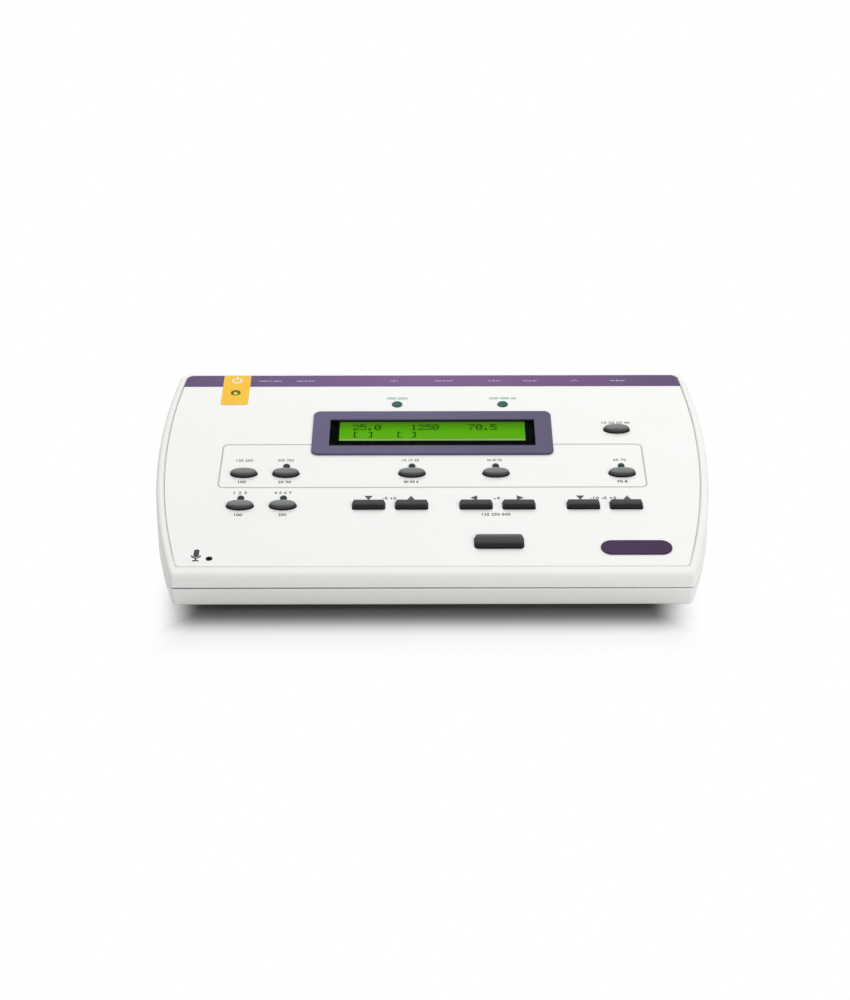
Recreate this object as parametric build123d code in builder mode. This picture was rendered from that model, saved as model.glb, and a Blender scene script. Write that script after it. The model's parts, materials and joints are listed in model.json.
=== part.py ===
from build123d import *
import math
import os

# A desktop diagnostic audiometer, in millimetres.
# +X is to the user's right, +Y to the rear, +Z up. The origin is on the table under the case's middle.

# Case: a wedge in two shells, with sides that are arcs in plan
case_width = 267.5
case_depth = 165
case_height = 60
front_height = 18.861
side_radius = 365
widest_y = 23
front_radius = 4.6
edge_radius = 2
rear_corner_radius = 5
side_wall = 2.6
rear_wall = 3.6
top_wall = 2.5
cut_overrun = 10

# Lower case and the shadow gap above it
foot_height = 4.8
lower_height = 8.4
seam_gap = 0.8
seam_depth = 1.2
lower_draft = 1.1
lower_edge_radius = 1
floor_thickness = 2.2
lip_gap = 0.15
lip_thickness = 1.4
lip_height = 2.2

# Panel overlay, in a recess with a thin groove round it
front_rim = 6.7
side_rim = 3.35
rear_rim = 2.8
groove_width = 0.5
recess_depth = 0.6
overlay_thickness = 0.5
panel_front_corner = 2
panel_rear_corner = 4

# Printed labels on the overlay
label_thickness = 0.15
strip_width = 9.8
tag_width = 13.7
tag_length = 26.5
tag_thickness = 0.25
tag_inset = 33.85
tag_corner = 1.2
badge_width = 32.8
badge_height = 10.5
badge_thickness = 0.6
badge_inset = 40.35
badge_s = 13.8

# Keys: places across the panel (x) and up the panel (s, from its front groove)
key_pitch_share = 0.075519
first_pair_share = -0.300936
pair_shares = (0, 3, 5.5, 8)
row_1_share = 0.456
row_2_share = 0.292
bar_share = 0.1122
row_0_offset = 3
key_gap = 0.25
key_rest_gap = 0.1
key_travel = 1.2
key_skirt = 0.4
key_height = 2
flange_margin = 0.9
flange_thickness = 1
stem_radius = 1.6
stem_length = 2.6
oval_spacing = 7.2
oval_width = 6.6
oval_draft = 0.7
oval_crown = 0.9
block_spacing = 4.9
block_width = 5.8
block_draft = 0.6
block_crown = 0.4
block_corner = 0.9
bar_length = 22.6
bar_width = 9
bar_corner = 1.9

# Boards, and the key switches under the keys
board_thickness = 1.6
board_depth = 11
board_side_inset = 28.75
board_front_s = 3
board_rear_inset = 11.5
board_corner = 3
switch_size = 6.2
switch_gap = 0.15
switch_margin = 0.2

# Board bosses and small screws
boss_radius = 3
pilot_radius = 1.1
pilot_gap = 0.05
screw_hole_gap = 0.35
small_head_radius = 2.2
small_head_height = 1.5
small_screw_length = 6
module_screw_length = 4.5

# Display: bezel, window, and a two-line display module
bezel_width = 118.3
bezel_length = 37.4
bezel_front_share = 0.553
bezel_height = 1
bezel_corner = 3.5
bezel_edge = 0.35
window_side = 8.5
window_end = 7.25
window_shift = 0.4
window_thickness = 0.8
window_drop = 0.7
window_margin = 1.9
window_gap = 0.1
skirt_side = 5.15
skirt_end = 3.7
skirt_depth = 0.7
opening_gap = 0.25
module_side_gap = 1
module_front_gap = 3.1
module_rear_gap = 0.2
module_frame_height = 6
module_sheet = 0.7
view_shift = 2.25
view_side = 7
view_end = 4.65
glass_thickness = 2.4
module_board_side = 6
module_board_end = 5
module_hole_inset = 3
header_width = 40
header_length = 2.5
header_s_inset = 4

# Lights and microphone
status_light_radius = 2.6
status_light_height = 0.35
status_light_offset = 7.4
status_light_pitch = 53.2
status_light_centre_x = 8.9
key_light_radius = 1.6
key_light_height = 0.8
key_light_offset = 6.3
power_light_radius = 1.6
power_light_offset = 3
light_gap = 0.15
light_body_length = 6
lead_radius = 0.3
lead_pitch = 1.27
microphone_radius = 3
microphone_thickness = 3.5
microphone_hole_radius = 1.3
microphone_inset = 32.15
microphone_s = 6.2

# Rear panel and its sockets
opening_inset = 21.75
opening_drop = 18
plate_gap = 0.1
plate_thickness = 2
plate_margin = 5
plate_rib = 1.6
plate_rib_width = 3
socket_drop = 0.5
jack_bore_radius = 3.25
jack_bushing_radius = 4.75
jack_bushing_length = 2.8
jack_body_width = 14
jack_body_share = 0.642857
jack_body_depth = 27
jack_bore_length = 28
jack_nut_size = 12.5
jack_nut_thickness = 2
first_jack_share = -0.073645
jack_spread_share = 0.428411
jack_shares = (0, 0.224, 0.448, 0.61, 0.808, 1)
hole_gap = 0.1
data_share = 0.42
data_shell_width = 17
data_shell_share = 0.3
data_shell_wall = 0.5
data_shell_slope = 0.9
data_shell_corner = 1.6
data_shell_reach = 3
data_flange_margin = 2.9
data_flange_share = 0.446429
data_flange_thickness = 0.8
data_body_depth = 9
data_post_spacing = 8
data_post_size = 4.8
data_post_bore = 1.3
data_post_shank = 1.55
data_pin_pitch = 2.77
data_row_pitch = 2.84
data_pin_radius = 0.5
data_pin_depth = 5
inlet_offset_share = 0.06729
inlet_bushing_radius = 4
inlet_bushing_length = 1
inlet_bore_radius = 2.9
inlet_pin_radius = 1
inlet_bore_depth = 10
inlet_body_width = 9.5
inlet_body_depth = 14
switch_inset = 10
rocker_width = 10
rocker_share = 0.292857
rocker_swing = 14
rocker_stand = 0.3
rocker_back = 3
rocker_gap = 0.2
pivot_radius = 1.5
pivot_depth = 2.6
pivot_reach = 1
pivot_gap = 0.05
housing_wall = 1.6
housing_depth = 13
housing_bezel = 1
housing_margin = 1.2
housing_cavity = 6.5

# Socket board
socket_board_length = 41.5
socket_board_side_inset = 25.75
socket_board_inset = 0.6
socket_screw_inset = 4.5

# Ribbon cable between the boards, and the integrated circuits
ribbon_width = 25
ribbon_thickness = 0.9
ribbon_share = -0.186916
ribbon_rear_inset = 29.5
ribbon_radius_share = 0.8
ribbon_plug_share = 0.178571
ribbon_plug_length = 5
chip_size = 14
chip_thickness = 2

# Case screws and feet
case_boss_radius = 3.75
case_pilot_radius = 1.25
case_screw_gap = 0.35
case_head_radius = 2.8
case_head_height = 2.2
case_head_drop = 3
case_screw_length = 10
case_pilot_depth = 5
front_screw_inset = 21.75
rear_screw_inset = 15.75
screw_end_inset = 16.5
foot_radius = 7
foot_top_radius = 8
foot_side_inset = 41.75
foot_end_inset = 24.5
foot_well_radius = 3.2
foot_well_depth = 2.6
foot_boss_height = 4
foot_pilot_depth = 5
foot_screw_length = 7

os.makedirs("parts", exist_ok=True)

# Heights and planes that follow from the sizes above
rise = (case_height - front_height) / case_depth
slope = math.hypot(rise, 1)
half_case = case_width / 2
front_y = -case_depth / 2
rear_y = case_depth / 2
ridge_z = case_height + edge_radius * (rise + slope - 1)
lower_bottom = foot_height
lower_top = foot_height + lower_height
upper_bottom = lower_top + seam_gap
floor_top = lower_bottom + floor_thickness
under_top = recess_depth + top_wall
overlay_top = recess_depth - overlay_thickness
panel_y = front_y + front_rim + groove_width / 2
panel_z = ridge_z - (rear_y - panel_y) * rise
panel = Plane(
    origin=(0, panel_y, panel_z),
    x_dir=(1, 0, 0),
    z_dir=(0, -rise / slope, 1 / slope),
)
overlay_rear_s = (rear_y - rear_rim - groove_width - panel_y) * slope


def panel_depth(depth):
    """The plane parallel to the panel, this far under the case's rim."""
    return panel.offset(-depth)


def rear_plane(y):
    """An upright plane across the case at this y, with X across and Z up."""
    return Plane.XZ.offset(-y)


def case_outline(side, front, rear, front_corner, rear_corner):
    """The plan of the case with its sides, front and rear moved in."""
    half_width = half_case - side
    radius = side_radius - side
    y_front = front_y + front
    y_rear = rear_y - rear
    centre_x = half_width - radius
    x_front = centre_x + math.sqrt(radius**2 - (y_front - widest_y) ** 2)
    x_rear = centre_x + math.sqrt(radius**2 - (y_rear - widest_y) ** 2)
    with BuildSketch() as outline:
        with BuildLine():
            Line((-x_front, y_front), (x_front, y_front))
            ThreePointArc((x_front, y_front), (half_width, widest_y), (x_rear, y_rear))
            Line((x_rear, y_rear), (-x_rear, y_rear))
            ThreePointArc((-x_rear, y_rear), (-half_width, widest_y), (-x_front, y_front))
        make_face()
        if front_corner > 0:
            fillet(outline.vertices().group_by(Axis.Y)[0], radius=front_corner)
        if rear_corner > 0:
            fillet(outline.vertices().group_by(Axis.Y)[-1], radius=rear_corner)
    return outline.sketch


def inner_outline(inset):
    """The plan of the space inside the walls, moved in by inset."""
    corner = max(rear_corner_radius - side_wall - inset, edge_radius / 2)
    return case_outline(side_wall + inset, side_wall + inset, rear_wall + inset, 0, corner)


# The display's pieces, each inside the last
bezel_front_s = bezel_front_share * overlay_rear_s
bezel_s = bezel_front_s + bezel_length / 2
window_s = bezel_s - window_shift
window_width = bezel_width - 2 * window_side
window_length = bezel_length - 2 * window_end
skirt_width = bezel_width - 2 * skirt_side
skirt_length = bezel_length - 2 * skirt_end
module_frame_width = skirt_width - 2 * module_side_gap
module_frame_length = skirt_length - module_front_gap - module_rear_gap
module_s = bezel_s + (module_front_gap - module_rear_gap) / 2
view_s = module_s + view_shift
view_width = module_frame_width - 2 * view_side
view_length = module_frame_length - 2 * view_end
module_board_width = module_frame_width + 2 * module_board_side
module_board_length = module_frame_length + 2 * module_board_end

# Where the keys are, by name: place on the panel
key_pitch = key_pitch_share * case_width
oval_length = key_pitch - oval_spacing
block_length = key_pitch - block_spacing
row_1_s = row_1_share * overlay_rear_s
row_2_s = row_2_share * overlay_rear_s
row_0_s = bezel_s + row_0_offset
bar_s = bar_share * overlay_rear_s
pair_x = [first_pair_share * case_width + key_pitch * share for share in pair_shares]
half_pitch = key_pitch / 2
oval_places = [
    (pair_x[0] - half_pitch, row_1_s),
    (pair_x[0] + half_pitch, row_1_s),
    (pair_x[1] + half_pitch, row_1_s),
    (pair_x[2], row_1_s),
    (pair_x[3] + half_pitch, row_1_s),
    (pair_x[0] - half_pitch, row_2_s),
    (pair_x[0] + half_pitch, row_2_s),
    (pair_x[3] + half_pitch, row_0_s),
]
block_places = [(x + side * half_pitch, row_2_s) for x in pair_x[1:] for side in (-1, 1)]
block_names = (
    "level_down_key",
    "level_up_key",
    "pitch_down_key",
    "pitch_up_key",
    "masking_down_key",
    "masking_up_key",
)
bar_place = (pair_x[2], bar_s)
key_places = oval_places + block_places + [bar_place]
light_places = [(x, s + key_light_offset) for x, s in oval_places[1:-1]]
status_light_s = bezel_front_s + bezel_length + status_light_offset
status_places = [
    (status_light_centre_x + side * status_light_pitch / 2, status_light_s) for side in (-1, 1)
]
tag_x = tag_inset - half_case
tag_s = overlay_rear_s - tag_length / 2
power_light_s = tag_s - power_light_offset
badge_x = half_case - badge_inset
microphone_x = microphone_inset - half_case

# Depths under the rim of what hangs below the panel
flange_top = under_top + key_rest_gap
flange_bottom = flange_top + flange_thickness
switch_top = flange_bottom + key_travel + switch_margin
stem_bottom = flange_bottom + stem_length
well_bottom = stem_bottom + key_travel + switch_margin
board_bottom = board_depth + board_thickness
frame_top = overlay_top + skirt_depth
frame_bottom = frame_top + module_frame_height
module_board_bottom = frame_bottom + board_thickness
screw_radius = pilot_radius - pilot_gap
screw_hole_radius = pilot_radius + screw_hole_gap

# Places of the bosses and screws
board_width = 2 * (half_case - board_side_inset)
board_rear_s = overlay_rear_s - board_rear_inset
board_boss_places = [
    (side * (board_width / 2 - boss_radius - board_corner), s)
    for side in (-1, 1)
    for s in (row_2_s - key_pitch, (row_1_s + row_0_s) / 2)
] + [(side * module_board_width / 2, status_light_s + boss_radius) for side in (-1, 1)]
module_boss_places = [
    (
        side_x * (module_board_width / 2 - module_hole_inset),
        module_s + side_s * (module_board_length / 2 - module_hole_inset),
    )
    for side_x in (-1, 1)
    for side_s in (-1, 1)
]
screw_y = rear_y - screw_end_inset
case_screw_places = [(side * (half_case - front_screw_inset), -screw_y) for side in (-1, 1)]
case_screw_places += [(side * (half_case - rear_screw_inset), screw_y) for side in (-1, 1)]
foot_x = half_case - foot_side_inset
foot_y = rear_y - foot_end_inset
foot_places = [(side_x * foot_x, side_y * foot_y) for side_x in (-1, 1) for side_y in (-1, 1)]

# Rear opening and what stands in it
opening_half_width = half_case - opening_inset
opening_top = case_height - opening_drop
opening_height = opening_top - upper_bottom
socket_z = upper_bottom + opening_height / 2 - socket_drop
jack_body_height = jack_body_share * opening_height
data_shell_height = data_shell_share * opening_height
data_post_pitch = data_shell_width + data_post_spacing
data_flange_width = data_post_pitch + 2 * data_flange_margin
data_flange_height = data_flange_share * opening_height
rocker_radius = rocker_share * opening_height
first_jack_x = first_jack_share * case_width
jack_spread = jack_spread_share * case_width
jack_places = [(first_jack_x + jack_spread * share, socket_z) for share in jack_shares]
switch_x = switch_inset - opening_half_width
inlet_x = switch_x + inlet_offset_share * case_width
data_x = inlet_x + data_share * (first_jack_x - inlet_x)
plate_outer = rear_y - rear_wall - plate_gap
plate_inner = plate_outer - plate_thickness
socket_board_top = socket_z - jack_body_height / 2
socket_board_front = rear_y - socket_board_length
socket_board_half_width = half_case - socket_board_side_inset
socket_board_rear = plate_inner - socket_board_inset
socket_screw_y = socket_board_front + socket_screw_inset
socket_screw_x = socket_board_half_width - socket_screw_inset
socket_screw_places = [(x, socket_screw_y) for x in (-socket_screw_x, 0, socket_screw_x)]


def oval_shape(grow):
    """A key's oval outline, grown by this much."""
    Ellipse(oval_length / 2 + grow, oval_width / 2 + grow)


def block_shape(grow):
    """A rectangular key's outline, grown by this much."""
    corner = max(block_corner + grow, block_corner / 2)
    RectangleRounded(block_length + 2 * grow, block_width + 2 * grow, corner)


def bar_shape(grow):
    """The large bar key's outline, grown by this much."""
    corner = max(bar_corner + grow, bar_corner / 2)
    RectangleRounded(bar_length + 2 * grow, bar_width + 2 * grow, corner)


def key_holes(grow):
    """Every key's outline at its place, grown by this much."""
    with Locations(*oval_places):
        oval_shape(grow)
    with Locations(*block_places):
        block_shape(grow)
    with Locations(bar_place):
        bar_shape(grow)


def light_holes():
    """The holes for the lights and the microphone."""
    with Locations(*status_places):
        Circle(status_light_radius + light_gap)
    with Locations(*light_places):
        Circle(key_light_radius + light_gap)
    with Locations((tag_x, power_light_s)):
        Circle(power_light_radius + light_gap)
    with Locations((microphone_x, microphone_s)):
        Circle(microphone_hole_radius)


# The space inside the upper case, and the recess in its top
with BuildPart() as case_core:
    with BuildSketch(Plane.XY.offset(upper_bottom - cut_overrun)):
        add(inner_outline(0))
    extrude(amount=case_height)
    split(bisect_by=panel_depth(under_top), keep=Keep.BOTTOM)

with BuildPart() as recess_cutter:
    with BuildSketch(Plane.XY):
        add(case_outline(side_rim, front_rim, rear_rim, panel_front_corner, panel_rear_corner))
    extrude(amount=case_height + cut_overrun)
    split(bisect_by=panel_depth(recess_depth), keep=Keep.TOP)

# Upper case
with BuildPart() as upper_case:
    with BuildSketch(Plane.XY.offset(upper_bottom)):
        add(case_outline(0, 0, 0, 0, rear_corner_radius))
    extrude(amount=case_height)
    split(bisect_by=panel, keep=Keep.BOTTOM)
    top_face = upper_case.faces().sort_by(Axis.Z)[-1]
    fillet(top_face.edges().sort_by(Axis.Y)[0], radius=front_radius)
    top_face = upper_case.faces().sort_by(Axis.Z)[-1]
    fillet(top_face.edges().sort_by(Axis.X)[-1], radius=edge_radius)
    add(case_core.part, mode=Mode.SUBTRACT)
    add(recess_cutter.part, mode=Mode.SUBTRACT)
    # bosses for the boards and the case screws
    with BuildSketch(panel_depth(under_top)):
        with Locations(*board_boss_places):
            Circle(boss_radius)
    extrude(amount=under_top - board_depth)
    with BuildSketch(panel_depth(under_top)):
        with Locations(*module_boss_places):
            Circle(boss_radius)
    extrude(amount=under_top - frame_bottom)
    with BuildSketch(Plane.XY.offset(upper_bottom)) as case_bosses:
        with Locations(*case_screw_places):
            Circle(case_boss_radius)
    extrude(until=Until.NEXT)
    # ribs that hold the rear panel against the wall
    with BuildSketch(Plane.XY.offset(opening_top)):
        with Locations(*[(side * opening_half_width, plate_inner - plate_gap) for side in (-1, 1)]):
            Rectangle(plate_rib_width, plate_rib, align=(Align.CENTER, Align.MAX))
    extrude(until=Until.NEXT)
    # holes
    with BuildSketch(panel):
        key_holes(key_gap)
        light_holes()
        with Locations((0, bezel_s)):
            Rectangle(skirt_width + 2 * opening_gap, skirt_length + 2 * opening_gap)
    extrude(amount=-under_top, mode=Mode.SUBTRACT)
    with BuildSketch(panel_depth(board_depth)):
        with Locations(*board_boss_places):
            Circle(pilot_radius)
    extrude(amount=small_screw_length, mode=Mode.SUBTRACT)
    with BuildSketch(panel_depth(frame_bottom)):
        with Locations(*module_boss_places):
            Circle(pilot_radius)
    extrude(amount=frame_bottom - under_top, mode=Mode.SUBTRACT)
    with BuildSketch(Plane.XY.offset(upper_bottom)):
        with Locations(*case_screw_places):
            Circle(case_pilot_radius)
    extrude(amount=case_pilot_depth, mode=Mode.SUBTRACT)
    # opening for the sockets
    with BuildSketch(rear_plane(rear_y + cut_overrun)):
        with Locations((0, upper_bottom)):
            Rectangle(
                2 * opening_half_width,
                opening_height,
                align=(Align.CENTER, Align.MIN),
            )
    extrude(amount=cut_overrun + rear_wall + plate_gap / 2, mode=Mode.SUBTRACT)
upper_case.part.label = "upper_case"
export_step(upper_case.part, "parts/upper_case.step")

# Lower case: a shallow tray with a stepped rim, so that a shadow gap shows all round
with BuildPart() as lower_case:
    with BuildSketch(Plane.XY.offset(lower_top)):
        add(case_outline(0, 0, 0, edge_radius, rear_corner_radius))
    with BuildSketch(Plane.XY.offset(lower_bottom)):
        add(case_outline(lower_draft, lower_draft, lower_draft, edge_radius, rear_corner_radius))
    loft(ruled=True)
    fillet(lower_case.faces().sort_by(Axis.Z)[0].edges(), radius=lower_edge_radius)
    with BuildSketch(Plane.XY.offset(lower_top)):
        add(case_outline(seam_depth, seam_depth, seam_depth, edge_radius, rear_corner_radius))
    extrude(amount=seam_gap)
    with BuildSketch(Plane.XY.offset(upper_bottom)):
        add(inner_outline(lip_gap))
    extrude(amount=lip_height)
    with BuildSketch(Plane.XY.offset(floor_top)):
        add(inner_outline(lip_gap + lip_thickness))
    extrude(amount=case_height, mode=Mode.SUBTRACT)
    # the lip stops where the rear panel stands
    with BuildSketch(Plane.XY.offset(upper_bottom)):
        with Locations((0, rear_y)):
            Rectangle(
                2 * (opening_half_width + plate_margin + plate_gap),
                rear_wall + plate_gap + plate_thickness + plate_gap + lip_thickness,
                align=(Align.CENTER, Align.MAX),
            )
    extrude(amount=lip_height, mode=Mode.SUBTRACT)
    # bosses for the case screws, the socket board and the feet
    with BuildSketch(Plane.XY.offset(floor_top)):
        with Locations(*case_screw_places):
            Circle(case_boss_radius)
    extrude(amount=upper_bottom - floor_top)
    with BuildSketch(Plane.XY.offset(floor_top)):
        with Locations(*socket_screw_places):
            Circle(boss_radius)
    extrude(amount=socket_board_top - board_thickness - floor_top)
    with BuildSketch(Plane.XY.offset(floor_top)):
        with Locations(*foot_places):
            Circle(case_boss_radius)
    extrude(amount=foot_boss_height)
    with BuildSketch(Plane.XY.offset(upper_bottom)):
        with Locations(*case_screw_places):
            Circle(case_pilot_radius + case_screw_gap)
    extrude(amount=lower_bottom - upper_bottom, mode=Mode.SUBTRACT)
    with BuildSketch(Plane.XY.offset(lower_bottom)):
        with Locations(*case_screw_places):
            Circle(case_head_radius + case_screw_gap)
    extrude(amount=case_head_drop, mode=Mode.SUBTRACT)
    with BuildSketch(Plane.XY.offset(lower_bottom)):
        with Locations(*foot_places):
            Circle(case_pilot_radius)
    extrude(amount=foot_pilot_depth, mode=Mode.SUBTRACT)
    with BuildSketch(Plane.XY.offset(socket_board_top - board_thickness)):
        with Locations(*socket_screw_places):
            Circle(pilot_radius)
    extrude(amount=-small_screw_length, mode=Mode.SUBTRACT)
lower_case.part.label = "lower_case"
export_step(lower_case.part, "parts/lower_case.step")

# Rear panel: the plate that carries the sockets
with BuildPart() as rear_panel:
    with BuildSketch(rear_plane(plate_outer)):
        with Locations((0, upper_bottom)):
            Rectangle(
                2 * (opening_half_width + plate_margin),
                opening_top + plate_margin - upper_bottom,
                align=(Align.CENTER, Align.MIN),
            )
        with Locations(*jack_places):
            Circle(jack_bushing_radius + hole_gap, mode=Mode.SUBTRACT)
        with Locations((data_x, socket_z)):
            RectangleRounded(
                data_shell_width + 2 * hole_gap,
                data_shell_height + 2 * hole_gap,
                data_shell_corner,
                mode=Mode.SUBTRACT,
            )
        with Locations(*[(data_x + side * data_post_pitch / 2, socket_z) for side in (-1, 1)]):
            Circle(data_post_shank + hole_gap, mode=Mode.SUBTRACT)
        with Locations((inlet_x, socket_z)):
            Circle(inlet_bushing_radius + hole_gap, mode=Mode.SUBTRACT)
        with Locations((switch_x, socket_z)):
            Rectangle(
                rocker_width + 2 * (rocker_gap + housing_wall + hole_gap),
                2 * (rocker_radius + rocker_gap + housing_wall + hole_gap),
                mode=Mode.SUBTRACT,
            )
    extrude(amount=plate_thickness)
rear_panel.part.label = "rear_panel"
export_step(rear_panel.part, "parts/rear_panel.step")

# Panel overlay: the white printed sheet
with BuildPart() as panel_overlay:
    with BuildSketch(Plane.XY):
        add(
            case_outline(
                side_rim + groove_width,
                front_rim + groove_width,
                rear_rim + groove_width / 2,
                panel_front_corner,
                panel_rear_corner,
            )
        )
    extrude(amount=case_height + cut_overrun)
    split(bisect_by=panel_depth(recess_depth), keep=Keep.TOP)
    split(bisect_by=panel_depth(overlay_top), keep=Keep.BOTTOM)
    with BuildSketch(panel):
        key_holes(key_gap)
        light_holes()
        with Locations((0, bezel_s)):
            Rectangle(skirt_width + 2 * opening_gap, skirt_length + 2 * opening_gap)
    extrude(amount=-under_top, mode=Mode.SUBTRACT)
panel_overlay.part.label = "panel_overlay"
export_step(panel_overlay.part, "parts/panel_overlay.step")

# Socket label strip, along the overlay's rear edge, with a notch for the tag
with BuildPart() as socket_label_strip:
    with BuildSketch(Plane.XY):
        add(
            case_outline(
                side_rim + groove_width,
                front_rim + groove_width,
                rear_rim + groove_width / 2,
                panel_front_corner,
                panel_rear_corner,
            )
        )
    extrude(amount=case_height + cut_overrun)
    split(bisect_by=panel_depth(overlay_top), keep=Keep.TOP)
    split(bisect_by=panel_depth(overlay_top - label_thickness), keep=Keep.BOTTOM)
    with BuildSketch(panel):
        with Locations((0, overlay_rear_s - strip_width)):
            Rectangle(case_width, case_depth, align=(Align.CENTER, Align.MAX))
        with Locations((tag_x, tag_s)):
            Rectangle(tag_width + 2 * hole_gap, case_depth)
    extrude(amount=recess_depth, both=True, mode=Mode.SUBTRACT)
socket_label_strip.part.label = "socket_label_strip"
export_step(socket_label_strip.part, "parts/socket_label_strip.step")

# Power tag: a yellow label with a hole for its light
with BuildPart() as power_tag:
    with BuildSketch(panel_depth(overlay_top)):
        with Locations((tag_x, tag_s)):
            RectangleRounded(tag_width, tag_length, tag_corner)
        with Locations((tag_x, power_light_s)):
            Circle(power_light_radius + light_gap, mode=Mode.SUBTRACT)
    extrude(amount=tag_thickness)
power_tag.part.label = "power_tag"
export_step(power_tag.part, "parts/power_tag.step")

# Badge: a blank rounded plate
with BuildPart() as badge:
    with BuildSketch(panel_depth(overlay_top)):
        with Locations((badge_x, badge_s)):
            SlotOverall(badge_width, badge_height)
    extrude(amount=badge_thickness)
    fillet(badge.faces().sort_by(panel.location.z_axis)[-1].edges(), radius=badge_thickness / 2)
badge.part.label = "badge"
export_step(badge.part, "parts/badge.step")

# Display bezel: a rounded frame whose skirt fits the opening and holds the window
with BuildPart() as display_bezel:
    with BuildSketch(panel_depth(overlay_top)):
        with Locations((0, bezel_s)):
            RectangleRounded(bezel_width, bezel_length, bezel_corner)
    extrude(amount=bezel_height + overlay_top)
    chamfer(
        display_bezel.faces().sort_by(panel.location.z_axis)[-1].edges(),
        length=bezel_edge,
    )
    with BuildSketch(panel_depth(overlay_top)):
        with Locations((0, bezel_s)):
            Rectangle(skirt_width, skirt_length)
    extrude(amount=-skirt_depth)
    with BuildSketch(panel_depth(frame_top)):
        with Locations((0, window_s)):
            Rectangle(
                window_width + 2 * (window_margin + window_gap),
                window_length + 2 * (window_margin + window_gap),
            )
    extrude(amount=frame_top + bezel_height - window_drop, mode=Mode.SUBTRACT)
    with BuildSketch(panel_depth(frame_top)):
        with Locations((0, window_s)):
            Rectangle(window_width, window_length)
    extrude(amount=frame_top + bezel_height, mode=Mode.SUBTRACT)
display_bezel.part.label = "display_bezel"
export_step(display_bezel.part, "parts/display_bezel.step")

# Display window: a clear pane behind the bezel
with BuildPart() as display_window:
    with BuildSketch(panel_depth(window_drop - bezel_height)):
        with Locations((0, window_s)):
            Rectangle(window_width + 2 * window_margin, window_length + 2 * window_margin)
    extrude(amount=-window_thickness)
display_window.part.label = "display_window"
export_step(display_window.part, "parts/display_window.step")

# Display module: sheet frame, glass, backlight and board
with BuildPart() as lcd_frame:
    with BuildSketch(panel_depth(frame_top)):
        with Locations((0, module_s)):
            Rectangle(module_frame_width, module_frame_length)
    extrude(amount=-module_frame_height)
    with BuildSketch(panel_depth(frame_bottom)):
        with Locations((0, module_s)):
            Rectangle(module_frame_width - 2 * module_sheet, module_frame_length - 2 * module_sheet)
    extrude(amount=module_frame_height - module_sheet, mode=Mode.SUBTRACT)
    with BuildSketch(panel_depth(frame_top)):
        with Locations((0, view_s)):
            Rectangle(view_width, view_length)
    extrude(amount=-module_sheet, mode=Mode.SUBTRACT)
lcd_frame.part.label = "lcd_frame"
export_step(lcd_frame.part, "parts/lcd_frame.step")

glass_width = module_frame_width - 2 * (module_sheet + opening_gap)
glass_length = module_frame_length - 2 * (module_sheet + opening_gap)
with BuildPart() as lcd_glass:
    with BuildSketch(panel_depth(frame_top + module_sheet)):
        with Locations((0, module_s)):
            Rectangle(glass_width, glass_length)
    extrude(amount=-glass_thickness)
lcd_glass.part.label = "lcd_glass"
export_step(lcd_glass.part, "parts/lcd_glass.step")

with BuildPart() as lcd_backlight:
    with BuildSketch(panel_depth(frame_top + module_sheet + glass_thickness)):
        with Locations((0, module_s)):
            Rectangle(glass_width, glass_length)
    extrude(amount=glass_thickness + module_sheet - module_frame_height)
lcd_backlight.part.label = "lcd_backlight"
export_step(lcd_backlight.part, "parts/lcd_backlight.step")

with BuildPart() as lcd_board:
    with BuildSketch(panel_depth(frame_bottom)):
        with Locations((0, module_s)):
            Rectangle(module_board_width, module_board_length)
        with Locations(*module_boss_places):
            Circle(screw_hole_radius, mode=Mode.SUBTRACT)
    extrude(amount=-board_thickness)
lcd_board.part.label = "lcd_board"
export_step(lcd_board.part, "parts/lcd_board.step")

with BuildPart() as display_header:
    with BuildSketch(panel_depth(module_board_bottom)):
        with Locations((0, module_s - module_board_length / 2 + header_s_inset)):
            Rectangle(header_width, header_length)
    extrude(amount=module_board_bottom - board_depth)
display_header.part.label = "display_header"
export_step(display_header.part, "parts/display_header.step")

# Main board, parallel to the panel, and the switches on it
with BuildPart() as main_board:
    with BuildSketch(panel_depth(board_depth)):
        with Locations((0, (board_front_s + board_rear_s) / 2)):
            RectangleRounded(board_width, board_rear_s - board_front_s, board_corner)
        with Locations(*board_boss_places):
            Circle(screw_hole_radius, mode=Mode.SUBTRACT)
    extrude(amount=-board_thickness)
main_board.part.label = "main_board"
export_step(main_board.part, "parts/main_board.step")

with BuildPart() as key_switches:
    with BuildSketch(panel_depth(board_depth)):
        with Locations(*key_places):
            Rectangle(switch_size, switch_size)
    extrude(amount=board_depth - switch_top)
    with BuildSketch(panel_depth(switch_top)):
        with Locations(*key_places):
            Circle(stem_radius + switch_gap)
    extrude(amount=switch_top - well_bottom, mode=Mode.SUBTRACT)
key_switches.part.label = "key_switches"
export_step(key_switches.part, "parts/key_switches.step")


def make_key(name, place, shape, draft, crown):
    """One key: a cap with drafted sides, a flange under the case top and a stem."""
    with BuildPart() as key:
        with BuildSketch(panel_depth(-key_skirt)):
            with Locations(place):
                shape(0)
        with BuildSketch(panel_depth(-key_height)):
            with Locations(place):
                shape(-draft)
        loft()
        fillet(key.faces().sort_by(panel.location.z_axis)[-1].edges(), radius=crown)
        with BuildSketch(panel_depth(flange_top)):
            with Locations(place):
                shape(0)
        extrude(amount=flange_top + key_skirt)
        with BuildSketch(panel_depth(flange_top)):
            with Locations(place):
                shape(flange_margin)
        extrude(amount=-flange_thickness)
        with BuildSketch(panel_depth(flange_bottom)):
            with Locations(place):
                Circle(stem_radius)
        extrude(amount=-stem_length)
    key.part.label = name
    export_step(key.part, f"parts/{name}.step")


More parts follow.
